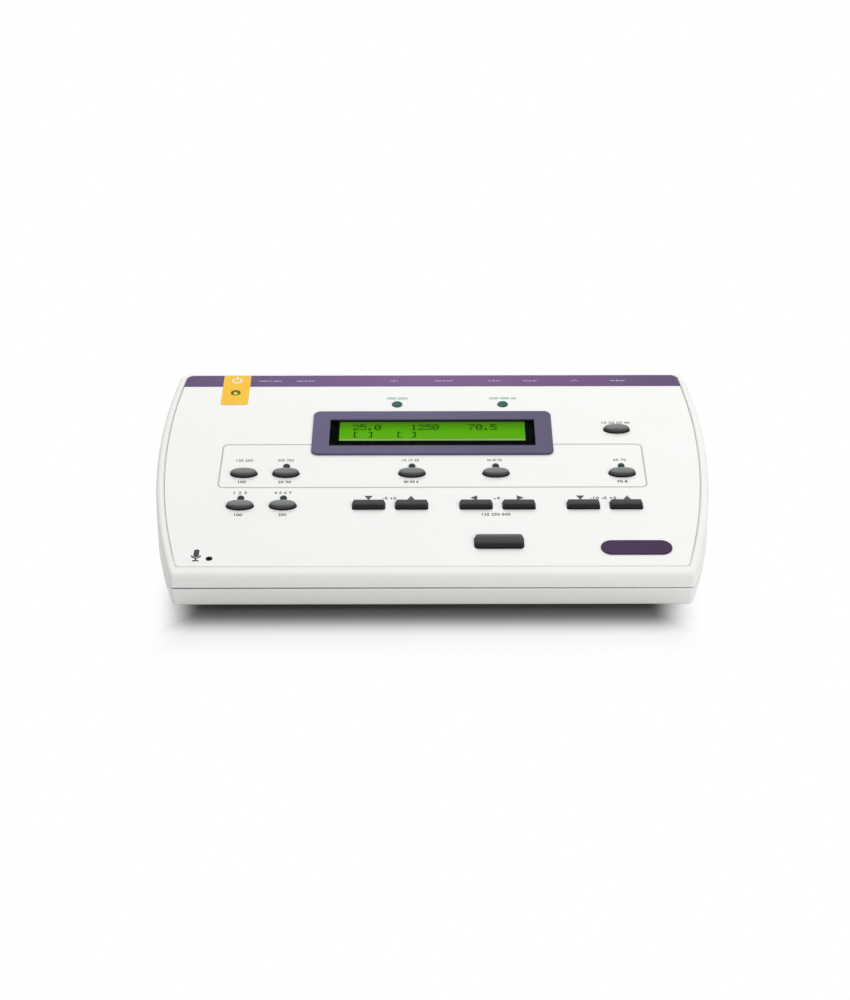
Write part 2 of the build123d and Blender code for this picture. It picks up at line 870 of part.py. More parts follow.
for number, place in enumerate(oval_places, start=1):
    make_key(f"oval_key_{number}", place, oval_shape, oval_draft, oval_crown)
for name, place in zip(block_names, block_places):
    make_key(name, place, block_shape, block_draft, block_crown)
make_key("tone_key", bar_place, bar_shape, block_draft, block_crown)


def make_lights(name, places, radius, height):
    """Domed lights that stand on their leads on the main board."""
    with BuildPart() as lights:
        with BuildSketch(panel_depth(-height)):
            with Locations(*places):
                Circle(radius)
        extrude(amount=-light_body_length)
        crowns = lights.faces().sort_by(panel.location.z_axis)[-len(places):]
        fillet(crowns.edges(), radius=height)
        with BuildSketch(panel_depth(light_body_length - height)):
            with Locations(*places):
                with Locations((-lead_pitch, 0), (lead_pitch, 0)):
                    Circle(lead_radius)
        extrude(amount=light_body_length - height - board_depth)
    lights.part.label = name
    export_step(lights.part, f"parts/{name}.step")


make_lights("status_lights", status_places, status_light_radius, status_light_height)
make_lights("key_lights", light_places, key_light_radius, key_light_height)
make_lights("power_light", [(tag_x, power_light_s)], power_light_radius, key_light_height)

# Microphone capsule under its hole, on its leads
with BuildPart() as microphone:
    with BuildSketch(panel_depth(under_top)):
        with Locations((microphone_x, microphone_s)):
            Circle(microphone_radius)
    extrude(amount=-microphone_thickness)
    with BuildSketch(panel_depth(under_top + microphone_thickness)):
        with Locations(*[(microphone_x + side * lead_pitch, microphone_s) for side in (-1, 1)]):
            Circle(lead_radius)
    extrude(amount=under_top + microphone_thickness - board_depth)
microphone.part.label = "microphone"
export_step(microphone.part, "parts/microphone.step")

# Six jack sockets and their nuts
with BuildPart() as jack_sockets:
    with BuildSketch(rear_plane(plate_inner)):
        with Locations(*jack_places):
            Rectangle(jack_body_width, jack_body_height)
    extrude(amount=jack_body_depth)
    with BuildSketch(rear_plane(plate_inner)):
        with Locations(*jack_places):
            Circle(jack_bushing_radius)
    extrude(amount=-plate_thickness - jack_bushing_length)
    with BuildSketch(rear_plane(plate_outer + jack_bushing_length)):
        with Locations(*jack_places):
            Circle(jack_bore_radius)
    extrude(amount=jack_bore_length, mode=Mode.SUBTRACT)
jack_sockets.part.label = "jack_sockets"
export_step(jack_sockets.part, "parts/jack_sockets.step")

with BuildPart() as jack_nuts:
    with BuildSketch(rear_plane(plate_outer)):
        with Locations(*jack_places):
            RegularPolygon(jack_nut_size / 2, 6, major_radius=False)
        with Locations(*jack_places):
            Circle(jack_bushing_radius + pilot_gap, mode=Mode.SUBTRACT)
    extrude(amount=-jack_nut_thickness)
jack_nuts.part.label = "jack_nuts"
export_step(jack_nuts.part, "parts/jack_nuts.step")


def data_outline(inset):
    """The D-shaped outline of the data connector, moved in by inset."""
    half_width = data_shell_width / 2 - inset
    half_height = data_shell_height / 2 - inset
    with BuildSketch() as outline:
        with BuildLine():
            Polyline(
                (-half_width, half_height),
                (half_width, half_height),
                (half_width - data_shell_slope, -half_height),
                (data_shell_slope - half_width, -half_height),
                close=True,
            )
        make_face()
        fillet(outline.vertices(), radius=data_shell_corner - inset)
    return outline.sketch


# Data connector: shell with its flange, insulator with nine holes, and two screw posts
post_places = [(data_x + side * data_post_pitch / 2, socket_z) for side in (-1, 1)]
pin_places = [
    (data_x + data_pin_pitch * (i - (count - 1) / 2), socket_z + side * data_row_pitch / 2)
    for count, side in ((5, 1), (4, -1))
    for i in range(count)
]
with BuildPart() as data_connector_shell:
    with BuildSketch(rear_plane(plate_inner)):
        with Locations((data_x, socket_z)):
            Rectangle(data_flange_width, data_flange_height)
        with Locations(*post_places):
            Circle(data_post_shank + pilot_gap, mode=Mode.SUBTRACT)
    extrude(amount=data_flange_thickness)
    with BuildSketch(rear_plane(plate_inner)):
        with Locations((data_x, socket_z)):
            add(data_outline(0))
    extrude(amount=-plate_thickness - data_shell_reach)
    with BuildSketch(rear_plane(plate_outer + data_shell_reach)):
        with Locations((data_x, socket_z)):
            add(data_outline(data_shell_wall))
    extrude(amount=data_shell_reach + plate_thickness + data_flange_thickness, mode=Mode.SUBTRACT)
data_connector_shell.part.label = "data_connector_shell"
export_step(data_connector_shell.part, "parts/data_connector_shell.step")

with BuildPart() as data_connector_core:
    with BuildSketch(rear_plane(plate_inner - data_flange_thickness)):
        with Locations((data_x, socket_z)):
            add(data_outline(data_shell_wall + pilot_gap))
    extrude(amount=-data_flange_thickness - plate_thickness - data_shell_reach + data_shell_wall)
    with BuildSketch(rear_plane(plate_inner - data_flange_thickness)):
        with Locations((data_x, socket_z)):
            Rectangle(data_shell_width, data_flange_height)
    extrude(amount=data_body_depth)
    with BuildSketch(rear_plane(plate_inner - data_flange_thickness - data_body_depth)):
        with Locations((data_x, socket_z)):
            Rectangle(data_shell_width, data_flange_height)
        with Locations((data_x, socket_board_top)):
            Rectangle(data_shell_width, socket_z - socket_board_top, align=(Align.CENTER, Align.MIN))
    extrude(amount=-data_body_depth / 2)
    with BuildSketch(rear_plane(plate_outer + data_shell_reach)):
        with Locations(*pin_places):
            Circle(data_pin_radius)
    extrude(amount=data_pin_depth, mode=Mode.SUBTRACT)
data_connector_core.part.label = "data_connector_core"
export_step(data_connector_core.part, "parts/data_connector_core.step")

with BuildPart() as data_screw_posts:
    with BuildSketch(rear_plane(plate_outer)):
        with Locations(*post_places):
            RegularPolygon(data_post_size / 2, 6, major_radius=False)
    extrude(amount=-data_shell_reach)
    with BuildSketch(rear_plane(plate_outer)):
        with Locations(*post_places):
            Circle(data_post_shank)
    extrude(amount=plate_thickness + 2 * data_flange_thickness)
    with BuildSketch(rear_plane(plate_outer + data_shell_reach)):
        with Locations(*post_places):
            Circle(data_post_bore)
    extrude(amount=data_shell_reach + plate_thickness, mode=Mode.SUBTRACT)
data_screw_posts.part.label = "data_screw_posts"
export_step(data_screw_posts.part, "parts/data_screw_posts.step")

# Power inlet: a bushing with a centre pin in its bore, and a body on the socket board
with BuildPart() as power_inlet:
    with BuildSketch(rear_plane(plate_inner)):
        with Locations((inlet_x, socket_z)):
            Rectangle(inlet_body_width, jack_body_height)
    extrude(amount=inlet_body_depth)
    with BuildSketch(rear_plane(plate_inner)):
        with Locations((inlet_x, socket_z)):
            Circle(inlet_bushing_radius)
    extrude(amount=-plate_thickness - inlet_bushing_length)
    with BuildSketch(rear_plane(plate_outer + inlet_bushing_length)):
        with Locations((inlet_x, socket_z)):
            Circle(inlet_bore_radius)
            Circle(inlet_pin_radius, mode=Mode.SUBTRACT)
    extrude(amount=inlet_bore_depth, mode=Mode.SUBTRACT)
    with BuildSketch(rear_plane(plate_outer + inlet_bushing_length)):
        with Locations((inlet_x, socket_z)):
            Circle(inlet_bore_radius)
    extrude(amount=inlet_bushing_length, mode=Mode.SUBTRACT)
power_inlet.part.label = "power_inlet"
export_step(power_inlet.part, "parts/power_inlet.step")

# Power switch: a snap-in housing, and a rocker on a pivot across it
bezel_y = plate_outer + housing_bezel
pivot_y = bezel_y - pivot_depth
cavity_width = rocker_width + 2 * rocker_gap
cavity_height = 2 * (rocker_radius + rocker_gap)
with BuildPart() as switch_housing:
    with BuildSketch(rear_plane(plate_outer)):
        with Locations((switch_x, socket_z)):
            Rectangle(cavity_width + 2 * housing_wall, cavity_height + 2 * housing_wall)
    extrude(amount=housing_depth)
    with BuildSketch(rear_plane(plate_outer)):
        with Locations((switch_x, socket_z)):
            Rectangle(
                cavity_width + 2 * (housing_wall + housing_margin),
                cavity_height + 2 * (housing_wall + housing_margin),
            )
    extrude(amount=-housing_bezel)
    with BuildSketch(rear_plane(bezel_y)):
        with Locations((switch_x, socket_z)):
            Rectangle(cavity_width, cavity_height)
    extrude(amount=housing_cavity, mode=Mode.SUBTRACT)
    with BuildSketch(Plane.YZ.offset(switch_x)):
        with Locations((pivot_y, socket_z)):
            Circle(pivot_radius + pivot_gap)
    extrude(
        amount=rocker_width / 2 + rocker_gap + pivot_reach,
        both=True,
        mode=Mode.SUBTRACT,
    )
switch_housing.part.label = "switch_housing"
export_step(switch_housing.part, "parts/switch_housing.step")

half_swing = math.radians(rocker_swing / 2)
rocker_plane = Plane(
    origin=(switch_x, pivot_y, socket_z),
    x_dir=(0, math.sin(half_swing), math.cos(half_swing)),
    z_dir=(-1, 0, 0),
)
rocker_crest = pivot_depth + rocker_stand
rocker_end = rocker_crest + rocker_radius * math.tan(half_swing)
with BuildPart() as power_rocker:
    with BuildSketch(rocker_plane):
        Circle(rocker_radius)
        with BuildLine():
            Polyline(
                (0, rocker_crest),
                (rocker_radius, rocker_end),
                (rocker_radius, rocker_radius),
                (-rocker_radius, rocker_radius),
                (-rocker_radius, rocker_end),
                close=True,
            )
        make_face(mode=Mode.SUBTRACT)
        with Locations((0, -rocker_back)):
            Rectangle(
                2 * rocker_radius,
                2 * rocker_radius,
                align=(Align.CENTER, Align.MAX),
                mode=Mode.SUBTRACT,
            )
    extrude(amount=rocker_width / 2, both=True)
    with BuildSketch(rocker_plane):
        Circle(pivot_radius)
    extrude(amount=rocker_width / 2 + rocker_gap + pivot_reach - pivot_gap, both=True)
power_rocker.part.label = "power_rocker"
export_step(power_rocker.part, "parts/power_rocker.step")

# Socket board: lies on its bosses behind the rear panel
with BuildPart() as socket_board:
    with BuildSketch(Plane.XY.offset(socket_board_top)):
        with Locations((0, socket_board_front)):
            Rectangle(
                2 * socket_board_half_width,
                socket_board_rear - socket_board_front,
                align=(Align.CENTER, Align.MIN),
            )
        with Locations(*socket_screw_places):
            Circle(screw_hole_radius, mode=Mode.SUBTRACT)
        with Locations((switch_x, socket_board_rear)):
            Rectangle(
                2 * (cavity_width / 2 + housing_wall + housing_margin),
                2 * (housing_depth + housing_margin),
                mode=Mode.SUBTRACT,
            )
    extrude(amount=-board_thickness)
socket_board.part.label = "socket_board"
export_step(socket_board.part, "parts/socket_board.step")

# Ribbon cable with a plug at each end, from the main board down to the socket board
ribbon_x = ribbon_share * case_width
ribbon_y = rear_y - ribbon_rear_inset
ribbon_plug_height = ribbon_plug_share * opening_height
ribbon_run = ribbon_plug_height
ribbon_s = (ribbon_y - panel_y) * slope - board_bottom * rise
plug_bottom = board_bottom + ribbon_plug_height
ribbon_start = panel_depth(plug_bottom).from_local_coords((0, ribbon_s))
ribbon_turn = panel_depth(plug_bottom + ribbon_run).from_local_coords((0, ribbon_s))
ribbon_foot_z = socket_board_top + ribbon_plug_height
with BuildPart() as ribbon_plugs:
    with BuildSketch(panel_depth(board_bottom)):
        with Locations((ribbon_x, ribbon_s)):
            Rectangle(ribbon_width, ribbon_plug_length)
    extrude(amount=-ribbon_plug_height)
    with BuildSketch(Plane.XY.offset(socket_board_top)):
        with Locations((ribbon_x, ribbon_turn.Y)):
            Rectangle(ribbon_width, ribbon_plug_length)
    extrude(amount=ribbon_plug_height)
ribbon_plugs.part.label = "ribbon_plugs"
export_step(ribbon_plugs.part, "parts/ribbon_plugs.step")

with BuildPart() as ribbon_cable:
    with BuildLine() as ribbon_path:
        FilletPolyline(
            (ribbon_x, ribbon_turn.Y, ribbon_foot_z),
            (ribbon_x, ribbon_turn.Y, ribbon_turn.Z),
            (ribbon_x, ribbon_start.Y, ribbon_start.Z),
            radius=ribbon_radius_share * ribbon_run,
        )
    with BuildSketch(Plane.XY.offset(ribbon_foot_z)):
        with Locations((ribbon_x, ribbon_turn.Y)):
            Rectangle(ribbon_width, ribbon_thickness)
    sweep(path=ribbon_path.wires()[0])
ribbon_cable.part.label = "ribbon_cable"
export_step(ribbon_cable.part, "parts/ribbon_cable.step")

# Integrated circuits under the main board
chip_places = [(x + half_pitch, (row_1_s + row_2_s) / 2) for x in pair_x[:3]]
with BuildPart() as integrated_circuits:
    with BuildSketch(panel_depth(board_bottom)):
        with Locations(*chip_places):
            Rectangle(chip_size, chip_size)
    extrude(amount=-chip_thickness)
integrated_circuits.part.label = "integrated_circuits"
export_step(integrated_circuits.part, "parts/integrated_circuits.step")


def make_screws(name, plane, places, head_radius, head_height, shank_radius, shank_length):
    """Round-headed screws whose heads seat on this plane, with shanks along its normal."""
    with BuildPart() as screws:
        with BuildSketch(plane):
            with Locations(*places):
                Circle(head_radius)
        extrude(amount=-head_height)
        with BuildSketch(plane):
            with Locations(*places):
                Circle(shank_radius)
        extrude(amount=shank_length)
    screws.part.label = name
    export_step(screws.part, f"parts/{name}.step")


case_screw_radius = case_pilot_radius - pilot_gap
make_screws(
    "main_board_screws",
    panel_depth(board_bottom),
    board_boss_places,
    small_head_radius,
    small_head_height,
    screw_radius,
    small_screw_length,
)
make_screws(
    "display_screws",
    panel_depth(module_board_bottom),
    module_boss_places,
    small_head_radius,
    small_head_height,
    screw_radius,
    module_screw_length,
)
make_screws(
    "socket_board_screws",
    Plane(origin=(0, 0, socket_board_top), x_dir=(1, 0, 0), z_dir=(0, 0, -1)),
    [(x, -y) for x, y in socket_screw_places],
    small_head_radius,
    small_head_height,
    screw_radius,
    small_screw_length,
)
make_screws(
    "case_screws",
    Plane.XY.offset(lower_bottom + case_head_drop),
    case_screw_places,
    case_head_radius,
    case_head_height,
    case_screw_radius,
    case_screw_length,
)
make_screws(
    "foot_screws",
    Plane.XY.offset(foot_well_depth),
    foot_places,
    case_head_radius,
    case_head_height,
    case_screw_radius,
    foot_screw_length,
)

# Four rubber feet, each with a well for its screw
with BuildPart() as feet:
    with Locations(*foot_places):
        Cone(foot_radius, foot_top_radius, foot_height, align=(Align.CENTER, Align.CENTER, Align.MIN))
    with BuildSketch(Plane.XY):
        with Locations(*foot_places):
            Circle(foot_well_radius)
    extrude(amount=foot_well_depth, mode=Mode.SUBTRACT)
    with BuildSketch(Plane.XY):
        with Locations(*foot_places):
            Circle(case_pilot_radius + case_screw_gap)
    extrude(amount=foot_height, mode=Mode.SUBTRACT)
feet.part.label = "feet"
export_step(feet.part, "parts/feet.step")
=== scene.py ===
# %% [markdown]
# # A desktop audiometer, dressed for the camera
# An audiometer is a hearing-test set: a wedge-shaped console with a sloping panel of rubber keys.
# The CAD model already holds every solid piece in its place, so this lesson changes no shape of it.
# It gives each piece the finish of its real material, and adds what is too thin for CAD, such as
# the printing.

# %% Load the frame
import math

import bmesh
import bpy
import json
from mathutils import Matrix, Vector

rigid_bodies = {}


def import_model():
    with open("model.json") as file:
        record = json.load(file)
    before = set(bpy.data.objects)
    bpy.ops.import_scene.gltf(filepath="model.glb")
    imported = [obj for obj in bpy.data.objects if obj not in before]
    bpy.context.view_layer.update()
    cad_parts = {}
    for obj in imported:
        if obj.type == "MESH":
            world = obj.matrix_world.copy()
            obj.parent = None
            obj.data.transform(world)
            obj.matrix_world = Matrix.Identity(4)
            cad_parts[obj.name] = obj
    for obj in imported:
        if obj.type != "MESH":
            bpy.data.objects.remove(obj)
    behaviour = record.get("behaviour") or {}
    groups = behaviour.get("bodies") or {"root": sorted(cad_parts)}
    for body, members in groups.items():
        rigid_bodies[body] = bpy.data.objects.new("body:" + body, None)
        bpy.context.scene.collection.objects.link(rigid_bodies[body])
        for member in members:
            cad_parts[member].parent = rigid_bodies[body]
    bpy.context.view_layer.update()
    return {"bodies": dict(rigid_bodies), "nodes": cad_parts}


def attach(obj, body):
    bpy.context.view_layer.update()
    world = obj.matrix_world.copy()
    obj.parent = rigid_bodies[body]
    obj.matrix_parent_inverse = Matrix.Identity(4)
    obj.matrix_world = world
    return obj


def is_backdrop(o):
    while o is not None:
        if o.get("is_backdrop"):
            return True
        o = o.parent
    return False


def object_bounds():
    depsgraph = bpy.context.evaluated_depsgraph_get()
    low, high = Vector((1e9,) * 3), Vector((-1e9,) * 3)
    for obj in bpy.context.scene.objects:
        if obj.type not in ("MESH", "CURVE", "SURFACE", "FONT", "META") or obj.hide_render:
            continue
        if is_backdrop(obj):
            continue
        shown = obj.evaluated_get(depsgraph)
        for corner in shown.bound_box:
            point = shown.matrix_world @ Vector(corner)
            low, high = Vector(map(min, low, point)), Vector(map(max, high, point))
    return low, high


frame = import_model()
nodes = frame["nodes"]

# %% [markdown]
# The drawing of the console is in millimetres and Blender counts in metres, so one value turns
# one into the other. Most of the printing lies on the sloping panel. Two numbers place it there:
# x to the right of the middle, and s up the slope from the groove at the panel's front edge.

# %% Sizes and the panel's plane
MM = 0.001
case_depth = 165
case_height = 60
front_height = 18.861
edge_radius = 2
panel_front = 75.55
rise = (case_height - front_height) / case_depth
slope = math.hypot(rise, 1)
ridge = case_height + edge_radius * (rise + slope - 1)
panel_z = ridge - (case_depth / 2 + panel_front) * rise
panel_frame = Matrix(
    (
        (MM, 0, 0, 0),
        (0, MM / slope, -MM * rise / slope, -panel_front * MM),
        (0, MM * rise / slope, MM / slope, panel_z * MM),
        (0, 0, 0, 1),
    )
)
print("the panel slopes", round(math.degrees(math.atan(rise)), 2), "degrees")

# %% [markdown]
# ## The camera
# The photograph was taken from the front with a long lens, a little above the console. A camera
# one metre away with a 74 mm lens sees the same narrowing towards the rear. The shift of under one
# percent only puts the console as far off the middle of the picture as it is in the photograph.
# The picture leans by a tenth of a degree, and for so small a roll two small turns are enough.

# %% Camera
camera_data = bpy.data.cameras.new("camera")
camera = bpy.data.objects.new("camera", camera_data)
bpy.context.scene.collection.objects.link(camera)
camera.location = (0, -0.9259, 0.3989)
tilt = math.radians(90 - 22.1)
roll = math.radians(-0.1)
camera.rotation_euler = (tilt, -roll * math.sin(tilt), roll * math.cos(tilt))
camera_data.sensor_width = 36
camera_data.lens = 74.05
camera_data.shift_x = -0.0074
bpy.context.scene.camera = camera
bpy.context.scene.view_settings.view_transform = "Standard"
print("camera", round(camera.location.length, 3), "m from the origin")

# %% [markdown]
# ## Helpers for the finishes
# Colours are written as the hex values that a picture editor shows. Blender computes with linear
# light, so one function turns them. A texture's scale counts its features in a metre, so another
# works that out from a size in millimetres. A third adds one node with its settings and links,
# and a colour ramp takes its colours there too, as stops from 0 to 1.


# %% Colour, scale and node helpers
def linear(colour):
    """An sRGB hex colour as linear RGBA."""
    parts = [int(colour[i : i + 2], 16) / 255 for i in (1, 3, 5)]
    return [c / 12.92 if c <= 0.04045 else ((c + 0.055) / 1.055) ** 2.4 for c in parts] + [1]


def per_metre(size):
    """How many features of this size in mm fit in a metre."""
    return 1 / (size * MM)


def add(tree, kind, settings=(), **links):
    """Adds a node, sets its properties, sockets and colour stops, and joins its inputs."""
    node = tree.nodes.new(kind)
    for name, value in dict(settings).items():
        if name == "stops":
            elements = node.color_ramp.elements
            for position, colour in value[1:-1]:
                elements.new(position)
            for element, (position, colour) in zip(elements, value):
                element.position = position
                element.color = linear(colour)
        elif hasattr(node, name):
            setattr(node, name, value)
        else:
            node.inputs[name].default_value = value
    for name, source in links.items():
        tree.links.new(source, node.inputs[name.replace("_", " ")])
    return node


def start(name, settings):
    """A new material with one Principled shader, and the place of each point in metres."""
    material = bpy.data.materials.new(name)
    material.use_nodes = True
    tree = material.node_tree
    shader = tree.nodes["Principled BSDF"]
    for socket, value in settings.items():
        shader.inputs[socket].default_value = value
    place = add(tree, "ShaderNodeTexCoord").outputs["Object"]
    return material, tree, shader, place


print("white is", linear("#FFFFFF")[0], "and mid grey is", round(linear("#808080")[0], 3))

# %% [markdown]
# ## Moulded and printed plastics
# The case is ABS, moulded in a tool whose walls were spark-eroded: that leaves a satin skin of
# shallow pits about a third of a millimetre wide. Pits that fine hardly show at arm's length,
# so they are drawn a little coarser. A slow change of tone stands for the flow of the melt.


# %% Moulded plastic
def moulded_plastic(name, light, dark, rough, pit, depth, settings=()):
    """Plastic with the tool's eroded texture: pit width and depth in mm."""
    fixed = {"Roughness": rough, "IOR": 1.53, **dict(settings)}
    material, tree, shader, place = start(name, fixed)
    flow = add(tree, "ShaderNodeTexNoise", {"Scale": per_metre(60), "Detail": 2}, Vector=place)
    pits = add(tree, "ShaderNodeTexNoise", {"Scale": per_metre(pit), "Detail": 3}, Vector=place)
    bump = add(tree, "ShaderNodeBump", {"Distance": depth * MM}, Height=pits.outputs["Fac"])
    stops = {"stops": [(0, dark), (1, light)]}
    tone = add(tree, "ShaderNodeValToRGB", stops, Fac=flow.outputs["Fac"])
    tree.links.new(tone.outputs["Color"], shader.inputs["Base Color"])
    tree.links.new(bump.outputs["Normal"], shader.inputs["Normal"])
    return material


case_abs = moulded_plastic("abs_moulded_off_white", "#F3F2EF", "#EFEEEA", 0.42, 0.5, 0.012)
print("case of", case_abs.name)

# %% [markdown]
# The two edges of the seam between the case halves are a little paler, a painted highlight. It
# ends within a millimetre of the seam's middle, and the shader finds it by height.

# %% Polished edges
seam_middle = 13.6
seam_highlight_reach = (0.6, 0.95)


def polish_edges(material, level, reach, colour):
    """Blends a colour in near a level in mm: full up to the near reach, none past the far one."""
    tree = material.node_tree
    shader = tree.nodes["Principled BSDF"]
    plain = shader.inputs["Base Color"].links[0].from_socket
    place = add(tree, "ShaderNodeTexCoord").outputs["Object"]
    height = add(tree, "ShaderNodeSeparateXYZ", Vector=place).outputs["Z"]
    away = add(tree, "ShaderNodeMath", {"operation": "SUBTRACT"}, Value=height)
    away.inputs[1].default_value = level * MM
    distance = add(tree, "ShaderNodeMath", {"operation": "ABSOLUTE"}, Value=away.outputs["Value"])
    near, far = reach
    fade = {"From Min": near * MM, "From Max": far * MM, "To Min": 1, "To Max": 0}
    share = add(tree, "ShaderNodeMapRange", fade, Value=distance.outputs["Value"])
    painted_light_tone = add(tree, "ShaderNodeMixRGB", {"Color2": linear(colour)}, Fac=share.outputs["Result"])
    tree.links.new(plain, painted_light_tone.inputs["Color1"])
    tree.links.new(painted_light_tone.outputs["Color"], shader.inputs["Base Color"])


# Painted highlight: both edges of the seam are blended towards white.
polish_edges(case_abs, seam_middle, seam_highlight_reach, "#FFFFFF")
print("the seam is polished within", seam_highlight_reach[1], "mm of its middle")

# %% [markdown]
# The other mouldings differ in tone, in gloss, and in how wide and deep their texture is. The
# badge is a drop of cast resin, so its skin is smooth. The ribbon's vinyl is uneven at the
# spacing of its wires, 1.27 mm. The dark sleeve and the grey seam band are dull, and both are
# painted shade: one in the microphone's hole, the other in the seam.

# %% Other mouldings
bezel_abs = moulded_plastic("abs_moulded_purple", "#554D71", "#4E4669", 0.45, 0.4, 0.010)
socket_nylon = moulded_plastic("nylon_moulded_black", "#232325", "#1B1B1D", 0.36, 0.4, 0.008)
dull = {"Specular IOR Level": 0.2}
badge_vinyl = moulded_plastic("resin_domed_purple", "#3E244A", "#381F44", 0.12, 6, 0.004, dull)
diffuser_acrylic = moulded_plastic("acrylic_diffuser_white", "#E9EFE6", "#DFE6DC", 0.3, 2, 0.004)
ribbon_pvc = moulded_plastic("pvc_ribbon_grey", "#A9A9AD", "#9B9BA0", 0.45, 1.27, 0.1)
hole_shade_black = moulded_plastic("painted_hole_shade_black", "#1A1A1A", "#141414", 0.8, 0.5, 0.01)
seam_shade_grey = moulded_plastic("painted_seam_shade_grey", "#B4B4B0", "#ACACA8", 0.8, 0.5, 0.01)
chip_epoxy = moulded_plastic("epoxy_moulded_black", "#2A2A2C", "#202022", 0.5, 0.3, 0.01)
print(len(bpy.data.materials), "moulded plastics and rubbers")

# %% [markdown]
# The panel, strip and tag are polyester films, printed on the back and textured on the front.
# The texture is a fine stipple under 0.2 mm, drawn at 0.35 mm so that it shows at all, and it
# breaks up reflections without making the print dull. The print itself is even.


# %% Printed film
def printed_film(name, light, dark, rough, settings=()):
    """Screen-printed polyester film with a fine stippled face."""
    fixed = {"Roughness": rough, "IOR": 1.57, **dict(settings)}
    material, tree, shader, place = start(name, fixed)
    stipple = add(
        tree,
        "ShaderNodeTexVoronoi",
        {"Scale": per_metre(0.35), "feature": "SMOOTH_F1"},
        Vector=place,
    )
    bump = add(tree, "ShaderNodeBump", {"Distance": 0.006 * MM}, Height=stipple.outputs["Distance"])
    ink = add(tree, "ShaderNodeTexNoise", {"Scale": per_metre(25), "Detail": 4}, Vector=place)
    stops = {"stops": [(0, dark), (1, light)]}
    tone = add(tree, "ShaderNodeValToRGB", stops, Fac=ink.outputs["Fac"])
    tree.links.new(tone.outputs["Color"], shader.inputs["Base Color"])
    tree.links.new(bump.outputs["Normal"], shader.inputs["Normal"])
    return material


panel_polyester = printed_film("polyester_film_white", "#F5F5F3", "#F1F1EE", 0.38)
strip_polyester = printed_film("polyester_film_purple", "#775A88", "#6F5180", 0.3, dull)
tag_polyester = printed_film("polyester_film_yellow", "#F8C731", "#F4C029", 0.3, dull)
ink_grey = printed_film("screen_ink_grey", "#3C403E", "#333735", 0.5)
ink_dark = printed_film("screen_ink_dark", "#2C292C", "#252225", 0.5)
ink_pale_grey = printed_film("screen_ink_pale_grey", "#787D7B", "#6E7371", 0.5)
ink_line = printed_film("screen_ink_line_grey", "#BAB7B8", "#B1AEAF", 0.5)
# Painted shade: the olive ring round the power light stands for the shade at its hole's edge.
olive_shade = printed_film("painted_shade_olive", "#6A6002", "#605602", 0.5, dull)
ink_teal = printed_film("screen_ink_teal", "#7FA79B", "#769F93", 0.5)
ink_white = printed_film("screen_ink_white", "#F2EEF4", "#EAE6EE", 0.5)
ink_strip = printed_film("screen_ink_lilac", "#C3B3CE", "#BAA9C6", 0.5)
print(len(bpy.data.materials), "materials so far")

# %% [markdown]
# The purple of the strip was printed from the middle outwards, so it is heavier and darker
# towards both ends. A ramp along the strip's own length multiplies the film's colour by that.
# The hairline at the panel's edge is painted groove shade, and its ramp darkens it towards the
# rear, painted shade as well. The bezel is darker towards the right. The band in the seam is
# painted seam shade, a grey band that a ramp darkens further towards the left, also painted shade.


# %% Tones along a piece
def weigh_along(material, axis, stops):
    """Multiplies a material's colour by stops along one axis of the piece's own box."""
    tree = material.node_tree
    shader = tree.nodes["Principled BSDF"]
    plain = shader.inputs["Base Color"].links[0].from_socket
    own_box = add(tree, "ShaderNodeTexCoord").outputs["Generated"]
    along = add(tree, "ShaderNodeSeparateXYZ", Vector=own_box).outputs[axis]
    weight = add(tree, "ShaderNodeValToRGB", {"stops": stops}, Fac=along)
    both = add(tree, "ShaderNodeMixRGB", {"blend_type": "MULTIPLY"})
    both.inputs["Fac"].default_value = 1
    tree.links.new(plain, both.inputs["Color1"])
    tree.links.new(weight.outputs["Color"], both.inputs["Color2"])
    tree.links.new(both.outputs["Color"], shader.inputs["Base Color"])


heavy_ends = [(0, "#C8CCD4"), (0.2, "#E4E6EA"), (0.5, "#FFFFFF"), (0.8, "#E4E2E6"), (1, "#C8C4CC")]
weigh_along(strip_polyester, "X", heavy_ends)
# Painted groove shade: the hairline round the film's edge, darker towards the rear.
groove_shade_line = printed_film("painted_groove_shade", "#E2E1DE", "#DAD9D6", 0.5)
groove_shade_to_rear = [(0, "#FFFFFF"), (0.012, "#FFFFFF"), (0.08, "#D2D0D2"), (1, "#AEACAE")]
weigh_along(groove_shade_line, "Y", groove_shade_to_rear)
darker_right = [(0, "#FFFFFF"), (0.45, "#FFFFFF"), (0.75, "#E6E6E5"), (1, "#E6E5E4")]
weigh_along(bezel_abs, "X", darker_right)
# Painted seam shade: the grey band in the seam, darker towards the left.
seam_shade_to_left = [(0.1, "#202020"), (0.25, "#616161"), (0.5, "#B1B1B1"), (0.75, "#DCDCDC"), (1, "#FFFFFF")]
weigh_along(seam_shade_grey, "X", seam_shade_to_left)
print("strip print follows", len(heavy_ends), "weights")

# %% [markdown]
# ## Silicone keys
# The keys are silicone rubber, moulded and then sprayed with a matt urethane that stops them
# going shiny. The crown is darker at its front and paler towards the rear, a painted highlight of
# the light from behind. The skirt round it is darker still, most of all where it meets the panel,
# which is painted shade. The shader reads how far a face leans from the panel's own upward
# direction to tell crown from skirt: 1 is a face level with the panel and 0 is one square to it.
# It reads where a point is on the key from front (0) to rear (1) for the crown's tone, and how
# high it stands over the panel for the skirt's.


# %% Key rubber
panel_up = Vector((0, -rise / slope, 1 / slope))
panel_level = panel_up.dot(panel_frame.translation)
skirt_height = 1.2
skirt_lean, crown_lean = 0.3, 0.97


